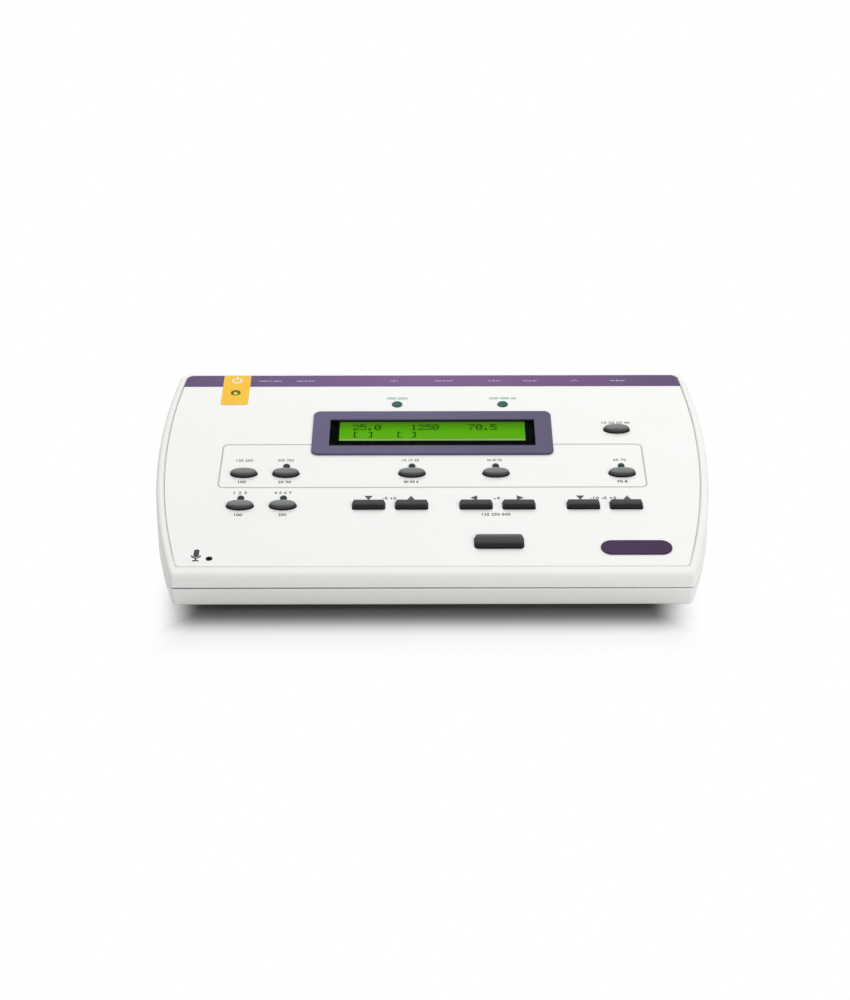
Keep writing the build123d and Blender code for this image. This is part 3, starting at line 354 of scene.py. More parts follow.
def key_rubber(name, crown, skirt, rough):
    """Silicone with painted light on the crown from front to rear, and painted shade on the skirt
    from base to top.
    """
    fixed = {"Roughness": rough, "IOR": 1.41, "Specular IOR Level": 0.2}
    material, tree, shader, place = start(name, fixed)
    facing = add(tree, "ShaderNodeVectorMath", {"operation": "DOT_PRODUCT"})
    facing.inputs[1].default_value = panel_up
    normal = add(tree, "ShaderNodeNewGeometry").outputs["Normal"]
    tree.links.new(normal, facing.inputs[0])
    lean = add(
        tree,
        "ShaderNodeMapRange",
        {"From Min": skirt_lean, "From Max": crown_lean, "interpolation_type": "SMOOTHSTEP"},
        Value=facing.outputs["Value"],
    )
    own_box = add(tree, "ShaderNodeTexCoord").outputs["Generated"]
    to_rear = add(tree, "ShaderNodeSeparateXYZ", Vector=own_box).outputs["Y"]
    painted_light_tone = add(tree, "ShaderNodeValToRGB", {"stops": crown}, Fac=to_rear)
    height = add(tree, "ShaderNodeVectorMath", {"operation": "DOT_PRODUCT"})
    height.inputs[1].default_value = panel_up
    tree.links.new(place, height.inputs[0])
    over_panel = add(
        tree,
        "ShaderNodeMapRange",
        {"From Min": panel_level, "From Max": panel_level + skirt_height * MM},
        Value=height.outputs["Value"],
    )
    painted_skirt_shade = add(tree, "ShaderNodeValToRGB", {"stops": skirt}, Fac=over_panel.outputs["Result"])
    tone = add(tree, "ShaderNodeMixRGB", Fac=lean.outputs["Result"])
    tree.links.new(painted_skirt_shade.outputs["Color"], tone.inputs["Color1"])
    tree.links.new(painted_light_tone.outputs["Color"], tone.inputs["Color2"])
    skin = add(tree, "ShaderNodeTexNoise", {"Scale": per_metre(0.6), "Detail": 3}, Vector=place)
    bump = add(tree, "ShaderNodeBump", {"Distance": 0.015 * MM}, Height=skin.outputs["Fac"])
    tree.links.new(tone.outputs["Color"], shader.inputs["Base Color"])
    tree.links.new(bump.outputs["Normal"], shader.inputs["Normal"])
    return material


print("the skirt of a key is", skirt_height, "mm high")

# %% [markdown]
# The oval keys are a grey-green compound and the rectangular ones a dark grey one. Each list of
# tones runs from the front of the crown to its rear, or from the foot of the skirt to its top.
# The feet under the case are a plain black rubber.

# %% Key tones
# These tones hold painted light: crowns paler to the rear, skirts darker at their foot.
oval_tones = [(0.04, "#5F6260"), (0.2, "#767976"), (0.4, "#818380"), (0.64, "#929491")]
block_tones = [(0.03, "#222122"), (0.14, "#343234"), (0.2, "#3E3C3E"), (0.3, "#464446")]
block_tones += [(0.5, "#484648"), (0.6, "#646264"), (0.75, "#767476")]
oval_skirt = [(0.15, "#070707"), (0.5, "#292B2A"), (1, "#494B49")]
block_skirt = [(0, "#0C0B0C"), (0.45, "#1E1D1E"), (1, "#2A292A")]
oval_silicone = key_rubber("silicone_grey_green", oval_tones, oval_skirt, 0.55)
block_silicone = key_rubber("silicone_dark_grey", block_tones, block_skirt, 0.55)
foot_silicone = moulded_plastic("rubber_foot_black", "#262626", "#1E1E1E", 0.7, 0.6, 0.015)
print(len(bpy.data.materials), "materials so far")

# %% [markdown]
# ## Lenses of the lights
# Each indicator is clear epoxy with a dye in it, cast in a smooth cup, so its dome is glossy.
# None of these is lit, and they get their depth from a brighter core that swirls through the dye.
# The teal ones also glow faintly from that core, a painted glow.


# %% Lenses
def dyed_epoxy(name, body, core, glow):
    """A domed lens: dyed epoxy over a slightly brighter core, which glows faintly as painted light.
    """
    fixed = {
        "Roughness": 0.12,
        "IOR": 1.55,
        "Specular IOR Level": 0.2,
        "Coat Weight": 0.2,
        "Coat Roughness": 0.05,
        "Emission Color": linear(core),
        "Emission Strength": glow,
    }
    material, tree, shader, place = start(name, fixed)
    swirl = add(tree, "ShaderNodeTexNoise", {"Scale": per_metre(1.5), "Detail": 2}, Vector=place)
    stops = {"stops": [(0, body), (1, core)]}
    tone = add(tree, "ShaderNodeValToRGB", stops, Fac=swirl.outputs["Fac"])
    tree.links.new(tone.outputs["Color"], shader.inputs["Base Color"])
    return material


# Painted glow: the unlit teal lenses emit a little of their core's colour.
status_epoxy = dyed_epoxy("epoxy_lens_teal", "#054E3D", "#0A5E4A", 0.02)
key_epoxy = dyed_epoxy("epoxy_lens_dark_green", "#0E2E28", "#143A32", 0.0)
print("lenses:", status_epoxy.name, "and", key_epoxy.name)

# %% [markdown]
# The power light is lit: its chip shows as a bright spot in the front half of a dark olive lens.
# The shader reads the distance from the chip, and the spot both glows and has its colour.

# %% Power light
power_x, power_light_s = -99.9, 143.24
chip_forward, chip_height = 1.3, 0.9
spot_core, spot_edge = 0.5, 1.6
power_chip = panel_frame @ Vector((power_x, power_light_s - chip_forward, chip_height))
power_epoxy, tree, shader, place = start("epoxy_lens_lit_green", {"Roughness": 0.2, "IOR": 1.55})
away = add(tree, "ShaderNodeVectorMath", {"operation": "DISTANCE"})
away.inputs[1].default_value = power_chip
tree.links.new(place, away.inputs[0])
spread = {"From Min": spot_core * MM, "From Max": spot_edge * MM}
share = add(tree, "ShaderNodeMapRange", spread, Value=away.outputs["Value"])
stops = [(0, "#E4E07A"), (0.45, "#D6D05A"), (0.8, "#8A8010"), (1, "#6A6002")]
spot = add(tree, "ShaderNodeValToRGB", {"stops": stops}, Fac=share.outputs["Result"])
tree.links.new(spot.outputs["Color"], shader.inputs["Base Color"])
tree.links.new(spot.outputs["Color"], shader.inputs["Emission Color"])
shader.inputs["Emission Strength"].default_value = 0.12
shader.inputs["Specular IOR Level"].default_value = 0.2
print("power light's chip at", [round(v * 1000, 1) for v in power_chip], "mm")

# %% [markdown]
# ## The display
# The display is a liquid crystal cell with a green backlight, so the cell glows. Its glow is
# paler along its front and darker under the bezel's rear edge, where the darkening is painted
# shade of the bezel's wall. Its own glow is all that shows, so the cell's shader has no gloss and
# the light is its emission.

# %% Display glass
view_front_s = 101.9
view_rear_s = 119.3
glass_top = -1.5


def panel_share(tree, place, low, high):
    """Where a point is between two places up the panel's slope, from 0 to 1."""
    height = add(tree, "ShaderNodeSeparateXYZ", Vector=place).outputs["Y"]
    ends = [panel_frame @ Vector((0, s, glass_top)) for s in (low, high)]
    span = add(
        tree,
        "ShaderNodeMapRange",
        {"From Min": ends[0].y, "From Max": ends[1].y},
        Value=height,
    )
    return span.outputs["Result"]


fixed = {
    "Base Color": linear("#0C1405"),
    "Roughness": 0.3,
    "Specular IOR Level": 0.0,
    "Emission Strength": 1.0,
}
display_cell, tree, shader, place = start("glass_liquid_crystal_green", fixed)
across = panel_share(tree, place, view_front_s, view_rear_s)
# The last stops, darkest towards the rear, are painted shade under the bezel's rear edge.
stops = [(0, "#94C074"), (0.11, "#88BC5C"), (0.15, "#60AE18"), (0.5, "#58AE08"), (0.8, "#4C9408")]
stops.append((1, "#427614"))
glow = add(tree, "ShaderNodeValToRGB", {"stops": stops}, Fac=across)
clouds = add(tree, "ShaderNodeTexNoise", {"Scale": per_metre(18), "Detail": 2}, Vector=place)
dapple = add(
    tree, "ShaderNodeMapRange", {"To Min": 0.9, "To Max": 1.08}, Value=clouds.outputs["Fac"]
)
lit = add(tree, "ShaderNodeVectorMath", {"operation": "SCALE"})
tree.links.new(glow.outputs["Color"], lit.inputs[0])
tree.links.new(dapple.outputs["Result"], lit.inputs["Scale"])
tree.links.new(lit.outputs["Vector"], shader.inputs["Emission Color"])
print("display cell from", view_front_s, "to", view_rear_s, "mm up the panel")

# %% [markdown]
# Where a dot is switched on, the liquid crystal holds the light back. A little green still comes
# through, so the dots are a very dark green and not black.

# %% Display dots
fixed = {"Roughness": 0.4, "Specular IOR Level": 0.0}
display_ink, tree, shader, place = start("liquid_crystal_dark", fixed)
speck = add(tree, "ShaderNodeTexNoise", {"Scale": per_metre(4), "Detail": 2}, Vector=place)
stops = {"stops": [(0, "#0C2403"), (1, "#123204")]}
tone = add(tree, "ShaderNodeValToRGB", stops, Fac=speck.outputs["Fac"])
tree.links.new(tone.outputs["Color"], shader.inputs["Base Color"])
print("dots of", display_ink.name)

# %% [markdown]
# The pane over the display is clear acrylic with a fine anti-glare etch, so it mirrors nothing
# and only veils the display a little. A low alpha does that: the display stays at full strength.

# %% Acrylic pane
fixed = {"Base Color": linear("#101412"), "Roughness": 0.4, "IOR": 1.49, "Alpha": 0.03}
pane_acrylic, tree, shader, place = start("acrylic_pane_clear", fixed)
etch = add(tree, "ShaderNodeTexNoise", {"Scale": per_metre(3), "Detail": 3}, Vector=place)
bump = add(tree, "ShaderNodeBump", {"Distance": 0.001 * MM}, Height=etch.outputs["Fac"])
tree.links.new(bump.outputs["Normal"], shader.inputs["Normal"])
print("pane of", pane_acrylic.name)

# %% [markdown]
# ## Metals and boards
# The rear plate is aluminium with a baked powder coat, whose skin has the soft ripple called
# orange peel, about a millimetre across. Nuts, shell and posts are nickel-plated and screws are
# zinc-plated. Both are metal, with faint turning marks. The display's frame is lacquered steel.


# %% Metals
def plated_metal(name, light, dark, rough):
    """A plated metal with fine turning marks."""
    material, tree, shader, place = start(name, {"Metallic": 1.0, "Roughness": rough})
    marks = add(
        tree,
        "ShaderNodeTexNoise",
        {"Scale": per_metre(0.5), "Detail": 4, "Roughness": 0.6},
        Vector=place,
    )
    stops = {"stops": [(0, dark), (1, light)]}
    tone = add(tree, "ShaderNodeValToRGB", stops, Fac=marks.outputs["Fac"])
    bump = add(tree, "ShaderNodeBump", {"Distance": 0.004 * MM}, Height=marks.outputs["Fac"])
    tree.links.new(tone.outputs["Color"], shader.inputs["Base Color"])
    tree.links.new(bump.outputs["Normal"], shader.inputs["Normal"])
    return material


nickel_plate = plated_metal("nickel_plated_brass", "#D2CEC5", "#C4BFB5", 0.22)
zinc_plate = plated_metal("zinc_plated_steel", "#BFC1C4", "#AEB0B4", 0.35)
matt = {"Specular IOR Level": 0.0}
lacquered_steel = moulded_plastic(
    "steel_lacquered_black", "#050C08", "#030704", 0.6, 0.8, 0.004, matt
)
powder_coat = moulded_plastic("aluminium_powder_coated", "#CDCDC9", "#C4C4C0", 0.45, 1.0, 0.02)
print(len(bpy.data.materials), "materials so far")

# %% [markdown]
# The boards are woven glass under a green lacquer. The warp and the weft show through it as a fine
# square pattern, so two sets of bands are multiplied. The wave texture counts radians, and its
# scale is divided by a full turn to space the threads in millimetres.


# %% Board laminate
def woven_board(name, light, dark, thread):
    """Glass cloth laminate, with the spacing of its threads in mm."""
    material, tree, shader, place = start(name, {"Roughness": 0.3, "IOR": 1.55})
    share = add(tree, "ShaderNodeMath", {"operation": "MULTIPLY"})
    bands = {"Scale": per_metre(thread) / (2 * math.pi), "Distortion": 0.4}
    for socket, way in enumerate("XY"):
        settings = {**bands, "bands_direction": way}
        threads = add(tree, "ShaderNodeTexWave", settings, Vector=place)
        tree.links.new(threads.outputs["Fac"], share.inputs[socket])
    stops = {"stops": [(0, dark), (1, light)]}
    tone = add(tree, "ShaderNodeValToRGB", stops, Fac=share.outputs["Value"])
    tree.links.new(tone.outputs["Color"], shader.inputs["Base Color"])
    return material


board_laminate = woven_board("glass_laminate_green", "#2B7A45", "#1F6637", 0.5)
print(len(bpy.data.materials), "materials in all")

# %% [markdown]
# ## Dressing the CAD nodes
# Each CAD node keeps its mesh and its place, and only its material slots change. The table
# pairs each finish with the nodes that have it. The loop stops with a key error if a node is
# misspelt, and prints the nodes that were left out.

# %% Finishes of the CAD nodes
key_names = sorted(body for body in frame["bodies"] if body not in ("console", "rocker"))
oval_keys = [name for name in key_names if name.startswith("oval")]
block_keys = [name for name in key_names if name not in oval_keys]
finishes = {
    case_abs: ["upper_case", "lower_case"],
    panel_polyester: ["panel_overlay"],
    strip_polyester: ["socket_label_strip"],
    tag_polyester: ["power_tag"],
    badge_vinyl: ["badge"],
    bezel_abs: ["display_bezel"],
    pane_acrylic: ["display_window"],
    lacquered_steel: ["lcd_frame"],
    display_cell: ["lcd_glass"],
    diffuser_acrylic: ["lcd_backlight"],
    board_laminate: ["lcd_board", "main_board", "socket_board"],
    chip_epoxy: [
        "integrated_circuits",
        "display_header",
        "key_switches",
        "ribbon_plugs",
        "microphone",
    ],
    ribbon_pvc: ["ribbon_cable"],
    oval_silicone: oval_keys,
    block_silicone: block_keys,
    foot_silicone: ["feet"],
    status_epoxy: ["status_lights"],
    key_epoxy: ["key_lights"],
    power_epoxy: ["power_light"],
    powder_coat: ["rear_panel"],
    socket_nylon: [
        "jack_sockets",
        "data_connector_core",
        "power_inlet",
        "switch_housing",
        "power_rocker",
    ],
    nickel_plate: ["jack_nuts", "data_connector_shell", "data_screw_posts"],
    zinc_plate: [
        "case_screws",
        "foot_screws",
        "main_board_screws",
        "display_screws",
        "socket_board_screws",
    ],
}
undressed = set(nodes)
for material, names in finishes.items():
    for name in names:
        mesh = nodes[name].data
        mesh.materials.clear()
        mesh.materials.append(material)
        undressed.remove(name)
print("nodes without a finish:", sorted(undressed))

# %% [markdown]
# ## Printing as thin shapes
# Screen printing is a film of ink a few hundredths of a millimetre thick. Each mark is a closed
# prism or ring that thick, so that it also survives as a mesh. A mark is a list of outlines in
# millimetres, and a matrix sets them on their surface.

# %% Prisms and rings
ink_thickness = 0.04


def prism(mesh, outline, frame_matrix, low, thickness=ink_thickness):
    """Adds a closed prism over an outline, from a height upwards."""
    rings = [
        [mesh.verts.new(frame_matrix @ Vector((x, y, height))) for x, y in outline]
        for height in (low, low + thickness)
    ]
    mesh.faces.new(reversed(rings[0]))
    mesh.faces.new(rings[1])
    count = len(outline)
    for i in range(count):
        j = (i + 1) % count
        mesh.faces.new((rings[0][i], rings[0][j], rings[1][j], rings[1][i]))


def ring(mesh, outer, inner, frame_matrix, low, thickness=ink_thickness):
    """Adds a closed ring between two loops of as many points, from a height upwards."""
    high = low + thickness
    loops = [
        [mesh.verts.new(frame_matrix @ Vector((x, y, height))) for x, y in outline]
        for outline, height in ((outer, low), (outer, high), (inner, high), (inner, low))
    ]
    for first, second in zip(loops, loops[1:] + loops[:1]):
        for i in range(len(first)):
            j = (i + 1) % len(first)
            mesh.faces.new((first[i], first[j], second[j], second[i]))


print("ink is", ink_thickness, "mm thick")

# %% [markdown]
# The outlines themselves are put together from arcs, circles and bars. A corner is an arc of a
# few steps, and an arc of two steps over two thirds of a turn is a triangle.


# %% Outlines
def arc(x, y, radius, first, last, steps):
    """Points along an arc, by its first and last angle in degrees."""
    angles = [math.radians(first + (last - first) * i / steps) for i in range(steps + 1)]
    return [(x + radius * math.cos(a), y + radius * math.sin(a)) for a in angles]


def circle(x, y, radius, steps):
    """Points round a circle, with the last one not on the first."""
    return arc(x, y, radius, 0, 360, steps)[:-1]


def bar(x, y, width, height):
    """A rectangle by its middle."""
    w, h = width / 2, height / 2
    return [(x - w, y - h), (x + w, y - h), (x + w, y + h), (x - w, y + h)]


print("a circle of 8 steps has", len(circle(0, 0, 1, steps=8)), "points")

# %% [markdown]
# A finished mesh becomes a piece of the console: it gets its material, and rides on a body of the
# frame, so that it moves with it.


# %% Pieces
def piece(name, mesh, material, body):
    """Turns a bmesh into a piece that rides on a body."""
    data = bpy.data.meshes.new(name)
    bmesh.ops.recalc_face_normals(mesh, faces=mesh.faces)
    mesh.to_mesh(data)
    mesh.free()
    data.materials.append(material)
    made = bpy.data.objects.new(name, data)
    bpy.context.scene.collection.objects.link(made)
    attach(made, body)
    print(name, "has", len(data.polygons), "faces")


# %% [markdown]
# ## Edges that show as lines
# The panel film lies in a shallow recess, and a grey hairline all round its edge is painted shade
# of that groove. A grey band at the bottom of the seam between the two case halves is painted shade
# too, so the seam reads as a dark line. Both follow the plan of the case: two arcs for the sides,
# set in by some millimetres, with rounded corners where they meet the straight front and rear.

# %% Plan of the case
half_case = 133.75
side_radius = 365
widest_y = 23


def case_plan(side, front, rear, front_corner, rear_corner):
    """The case's outline set in from its side, front and rear, as a loop of points."""
    middle_x = half_case - side_radius
    radius = side_radius - side
    front_y = -case_depth / 2 + front + front_corner
    rear_y = case_depth / 2 - rear - rear_corner
    turns = []
    middles = []
    for y, r in ((front_y, front_corner), (rear_y, rear_corner)):
        turn = math.degrees(math.asin((y - widest_y) / (radius - r)))
        turns.append(turn)
        middles.append((middle_x + (radius - r) * math.cos(math.radians(turn)), y))
    half = arc(*middles[0], front_corner, -90, turns[0], steps=8)
    half += arc(middle_x, widest_y, radius, turns[0], turns[1], steps=40)[1:-1]
    half += arc(*middles[1], rear_corner, turns[1], 90, steps=8)
    return half + [(-x, y) for x, y in reversed(half)]


print("the plan has", len(case_plan(0, 0, 0, 2, 5)), "points")

# %% Panel edge and seam
film_top = -0.1
edge_width = 0.4
edge_side, edge_front, edge_rear = 3.86, 7.21, 3.06
film_corners = (2, 4)
case_corners = (2, 5)
seam_shade_inset, seam_shade_width, seam_shade_height = 0.9, 0.29, 0.7


def up_the_panel(outline):
    """A loop in plan as one on the panel, where s runs up the slope."""
    return [(x, (y + panel_front) * slope) for x, y in outline]


# The hairline of painted groove shade round the film's edge.
edge_mesh = bmesh.new()
sides = (edge_side, edge_front, edge_rear)
outer = up_the_panel(case_plan(*sides, *film_corners))
inner = up_the_panel(case_plan(*[inset + edge_width for inset in sides], *film_corners))
ring(edge_mesh, outer, inner, panel_frame, film_top)
piece("panel_groove_shade", edge_mesh, groove_shade_line, "console")

plan_frame = Matrix.Diagonal((MM, MM, MM, 1))
# The band of painted shade at the bottom of the seam.
seam_shade_mesh = bmesh.new()
outer = case_plan(*[seam_shade_inset] * 3, *case_corners)
inner = case_plan(*[seam_shade_inset + seam_shade_width] * 3, *case_corners)
seam_shade_foot = seam_middle - seam_shade_height / 2
ring(seam_shade_mesh, outer, inner, plan_frame, seam_shade_foot, seam_shade_height)
piece("seam_shade_band", seam_shade_mesh, seam_shade_grey, "console")

# %% [markdown]
# The hole over the microphone is darkened with painted shade: a short dark sleeve inside it, and
# a dark collar round its mouth. A dark olive ring on the tag round the power light is painted
# shade of its hole's edge. It is thinner at the front, so its outer circle has its middle a
# little behind the light's.

# %% Shade in the microphone's hole and round the power light
microphone = (-101.6, 6.2)
hole_shade_foot, hole_shade_length = -3.05, 2.94
hole_shade_mesh = bmesh.new()
for outer_radius, inner_radius, low, thickness in (
    (1.28, 1.0, hole_shade_foot, hole_shade_length),
    (1.6, 1.22, film_top, ink_thickness),
):
    outer = circle(*microphone, outer_radius, steps=32)
    inner = circle(*microphone, inner_radius, steps=32)
    ring(hole_shade_mesh, outer, inner, panel_frame, low, thickness)
piece("microphone_hole_shade", hole_shade_mesh, hole_shade_black, "console")

tag_top = 0.15
ring_outer, ring_inner, ring_back = 2.5, 1.6, 0.45
light_shade_mesh = bmesh.new()
outer = circle(power_x, power_light_s + ring_back, ring_outer, steps=32)
inner = circle(power_x, power_light_s, ring_inner, steps=32)
ring(light_shade_mesh, outer, inner, panel_frame, tag_top)
piece("power_light_shade_ring", light_shade_mesh, olive_shade, "console")

# %% [markdown]
# A thin printed line encloses the upper rows of keys and ends at both sides of the bezel. It is
# one open band with four rounded corners, drawn round its outer edge and back round its inner.

# %% Group line
line_width = 0.75
box_left, box_right = -102.6, 102.7
box_front, box_rear = 61.1, 97.8
bezel_side = 59.15
corner = 3


def box_edge(inset):
    """The line's edge from the bezel's right side round to its left side."""
    left, right = box_left + inset, box_right - inset
    front, rear = box_front + inset, box_rear - inset
    r = corner - inset
    return (
        [(bezel_side, rear)]
        + arc(right - r, rear - r, r, 90, 0, steps=6)
        + arc(right - r, front + r, r, 0, -90, steps=6)
        + arc(left + r, front + r, r, 270, 180, steps=6)
        + arc(left + r, rear - r, r, 180, 90, steps=6)
        + [(-bezel_side, rear)]
    )


line_mesh = bmesh.new()
band = box_edge(0) + box_edge(line_width)[::-1]
prism(line_mesh, band, panel_frame, film_top)
piece("panel_group_line", line_mesh, ink_line, "console")

# %% [markdown]
# ## Marks on the panel
# Figures come from Blender's own font. The text is turned into a flat mesh, fitted into the
# mark's width and height, and raised by the thickness of the ink. Its strokes grow a little,
# because ink spreads before it dries. The font leaves a few triangles with no area, so points
# that coincide are merged and the triangles are turned before the mesh is raised.

# %% Figures
stroke_growth = 0.02


def figures(mesh, text, x, y, width, height, frame_matrix, low):
    """Adds printed numerals centred at x, y, fitted into a width and a height."""
    curve = bpy.data.curves.new("figures", "FONT")
    curve.body = text
    curve.resolution_u = 2
    curve.offset = stroke_growth
    holder = bpy.data.objects.new("figures", curve)
    bpy.context.scene.collection.objects.link(holder)
    bpy.context.view_layer.update()
    flat = bpy.data.meshes.new_from_object(holder)
    bpy.data.objects.remove(holder)
    xs = [v.co.x for v in flat.vertices]
    ys = [v.co.y for v in flat.vertices]
    fit_x = width / (max(xs) - min(xs))
    fit_y = height / (max(ys) - min(ys))
    middle = ((max(xs) + min(xs)) / 2, (max(ys) + min(ys)) / 2)
    face_mesh = bmesh.new()
    face_mesh.from_mesh(flat)
    bmesh.ops.remove_doubles(face_mesh, verts=face_mesh.verts, dist=1e-3)
    bmesh.ops.beautify_fill(face_mesh, faces=face_mesh.faces, edges=face_mesh.edges)
    solid = bmesh.ops.extrude_face_region(face_mesh, geom=face_mesh.faces[:])
    raised = [v for v in solid["geom"] if isinstance(v, bmesh.types.BMVert)]
    for vertex in face_mesh.verts:
        vertex.co = Vector(
            (x + (vertex.co.x - middle[0]) * fit_x, y + (vertex.co.y - middle[1]) * fit_y, low)
        )
    for vertex in raised:
        vertex.co.z = low + ink_thickness
    for vertex in face_mesh.verts:
        vertex.co = frame_matrix @ vertex.co
    holding = bpy.data.meshes.new("figures")
    face_mesh.to_mesh(holding)
    face_mesh.free()
    mesh.from_mesh(holding)
    bpy.data.meshes.remove(holding)
    bpy.data.meshes.remove(flat)


print("strokes grow by", stroke_growth, "of the font's size")

# %% [markdown]
# The marks by the keys are plain numbers, printed small. Each row of the table gives the place
# of a mark, its width and its figures.

# %% Marks by the keys
mark_height = 2.1
upper_marks = [
    (-90.9, 84.0, 8.1, "125 250"),
    (-71.0, 84.0, 7.8, "500 750"),
    (-10.5, 84.0, 8.0, "10 15 20"),
    (30.1, 84.0, 7.3, "30 40 50"),
    (90.8, 84.0, 6.3, "60 70"),
    (-91.1, 57.2, 6.2, "1 2 3"),
    (-70.9, 57.2, 8.5, "4 5 6 7"),
    (91.3, 116.2, 14.1, "10 20 30 40"),
]
lower_marks = [
    (-91.0, 66.0, 3.8, "100"),
    (-70.7, 66.0, 6.2, "20 30"),
    (-10.2, 66.0, 7.2, "40 50 6"),
    (90.8, 66.0, 5.1, "70 8"),
    (-90.9, 39.7, 3.7, "100"),
    (-70.3, 39.7, 3.7, "200"),
    (29.8, 39.7, 13.4, "125 250 500"),
    (-20.3, 52.6, 6.5, "-5 +5"),
    (30.6, 52.6, 3.4, "-+"),
    (80.7, 52.6, 12.5, "-10 -5 +5"),
]
status_marks = [(-17.7, 138.5, 10.6, "1000 2000"), (35.5, 138.5, 13.7, "3000 4000 60")]
for name, marks, ink in (
    ("upper_key_figures", upper_marks, ink_pale_grey),
    ("lower_key_figures", lower_marks, ink_grey),
    ("status_light_figures", status_marks, ink_teal),
):
    mark_mesh = bmesh.new()
    for x, s, width, text in marks:
        figures(mark_mesh, text, x, s, width, mark_height, panel_frame, film_top)
    piece(name, mark_mesh, ink, "console")

# %% [markdown]
# Arrowheads over the rectangular keys say which way each one steps. Each is a triangle with equal
# sides. Its tip reaches twice as far from its middle as the side behind does, so the middle is set
# back by a quarter of that reach, and all arrowheads then stand in one row.

# %% Arrowheads
arrow_s = 52.9
arrow_reach = 2.26
arrows = [(-30.2, 270), (-10.1, 90), (19.5, 180), (41.6, 0), (69.9, 270), (92.1, 90)]
arrow_mesh = bmesh.new()
for x, heading in arrows:
    set_back = arrow_reach / 4
    middle_x = x - set_back * math.cos(math.radians(heading))
    middle_s = arrow_s - set_back * math.sin(math.radians(heading))
    outline = arc(middle_x, middle_s, arrow_reach, heading, heading + 240, steps=2)
    prism(arrow_mesh, outline, panel_frame, film_top)
piece("step_arrowheads", arrow_mesh, ink_grey, "console")

# %% [markdown]
# A microphone sign stands beside the small hole at the front left: a capsule in a bracket on a
# foot. The power sign on the yellow tag is a broken ring with a stroke in its gap. Both are drawn
# by their arcs and bars, each placed up or down the slope from the middle of the sign.

# %% Microphone sign
sign_x, sign_s = -107.7, 8.9
capsule_radius = 1.25
capsule_upper, capsule_lower = sign_s + 3.0, sign_s - 0.4
bracket_s = sign_s - 0.3
bracket_outer, bracket_inner = 2.35, 1.6
sign_mesh = bmesh.new()
capsule = arc(sign_x, capsule_upper, capsule_radius, 0, 180, steps=10)
capsule += arc(sign_x, capsule_lower, capsule_radius, 180, 360, steps=10)
bracket = arc(sign_x, bracket_s, bracket_outer, 180, 360, steps=14)
bracket += arc(sign_x, bracket_s, bracket_inner, 360, 180, steps=14)
stem = bar(sign_x, sign_s - 3.2, width=0.8, height=1.4)
base = bar(sign_x, sign_s - 4.25, width=3.0, height=0.9)
for outline in (capsule, bracket, stem, base):
    prism(sign_mesh, outline, panel_frame, film_top)
piece("microphone_sign", sign_mesh, ink_dark, "console")

# %% Power sign
power_s = 154.9
ring_start, ring_end = 125, 415
open_outer, open_inner = 2.7, 1.8
power_mesh = bmesh.new()
open_ring = arc(power_x, power_s, open_outer, ring_start, ring_end, steps=28)
open_ring += arc(power_x, power_s, open_inner, ring_end, ring_start, steps=28)
stroke = bar(power_x, power_s + 2.0, width=0.9, height=2.8)
for outline in (open_ring, stroke):
    prism(power_mesh, outline, panel_frame, tag_top)
piece("power_sign", power_mesh, ink_white, "console")

# %% [markdown]
# The strip along the rear edge has a number over each socket behind it, between two short
# rules. Each row of the table has the place of a mark and its whole width. The same numbers are
# printed on the rear plate, so that a plug finds its socket.

# %% Socket numbers on the strip
strip_top = 0.05
strip_s = 154.6
strip_height = 1.9
one_width, figure_width = 0.5, 1.2
rule_gap = 1.1
rule_weight = 0.6
strip_mesh = bmesh.new()
strip_marks = [
    (-82.8, 11.7),
    (-64.8, 9.2),
    (-19.7, 3.6),
    (5.9, 9.2),
    (31.6, 6.0),
    (50.0, 7.0),
    (72.9, 3.6),
    (94.9, 7.7),
]
for number, (x, width) in enumerate(strip_marks, start=1):
    wide = one_width if number == 1 else figure_width
    figures(strip_mesh, str(number), x, strip_s, wide, strip_height, panel_frame, strip_top)
    rule = width / 2 - rule_gap
    for side in (-1, 1):
        middle = x + side * (width / 2 - rule / 2)
        prism(strip_mesh, bar(middle, strip_s, rule, rule_weight), panel_frame, strip_top)
piece("strip_socket_numbers", strip_mesh, ink_strip, "console")

# %% [markdown]
# ## The display's figures
# The display has two lines of 24 places. Each figure is a grid of five by seven dots, as the real
# cell makes it. The rows of dots are written as numbers, one bit to a dot, and "<" and ">" stand
# for the two brackets.

# %% Display figures
dot_rows = {
    "0": (14, 17, 19, 21, 25, 17, 14),
    "1": (4, 12, 4, 4, 4, 4, 14),
    "2": (14, 17, 1, 2, 4, 8, 31),
    "5": (31, 16, 30, 1, 1, 17, 14),
    "7": (31, 1, 2, 4, 8, 8, 8),
    ".": (0, 0, 0, 0, 0, 12, 12),
    "<": (14, 8, 8, 8, 8, 8, 14),
    ">": (14, 2, 2, 2, 2, 2, 14),
    " ": (0, 0, 0, 0, 0, 0, 0),
}
place_pitch = 3.6
first_place = -43.2
dots_across, dots_up = 5, 7
dot_pitch = 0.62
dot_size = 0.6
dot_stretch = 1.12
dot_thickness = 0.03
first_dot = 0.7 * dot_pitch
dots = bmesh.new()
for line_s, text in ((114.5, " 25.0    1250    70.5"), (108.0, " < >   < >")):
    for column, letter in enumerate(text):
        for row, bits in enumerate(dot_rows[letter]):
            for dot in range(dots_across):
                if bits >> (dots_across - 1 - dot) & 1:
                    x = first_place + column * place_pitch + first_dot + dot * dot_pitch
                    s = line_s + (dots_up // 2 - row) * dot_pitch * dot_stretch
                    outline = bar(x, s, dot_size, dot_size * dot_stretch)
                    prism(dots, outline, panel_frame, glass_top, dot_thickness)
piece("display_figures", dots, display_ink, "console")

# %% [markdown]
# ## Marks at the rear
# The rear plate faces away, so its marks are drawn mirrored in x and stand upright, over the
# sockets that they number.

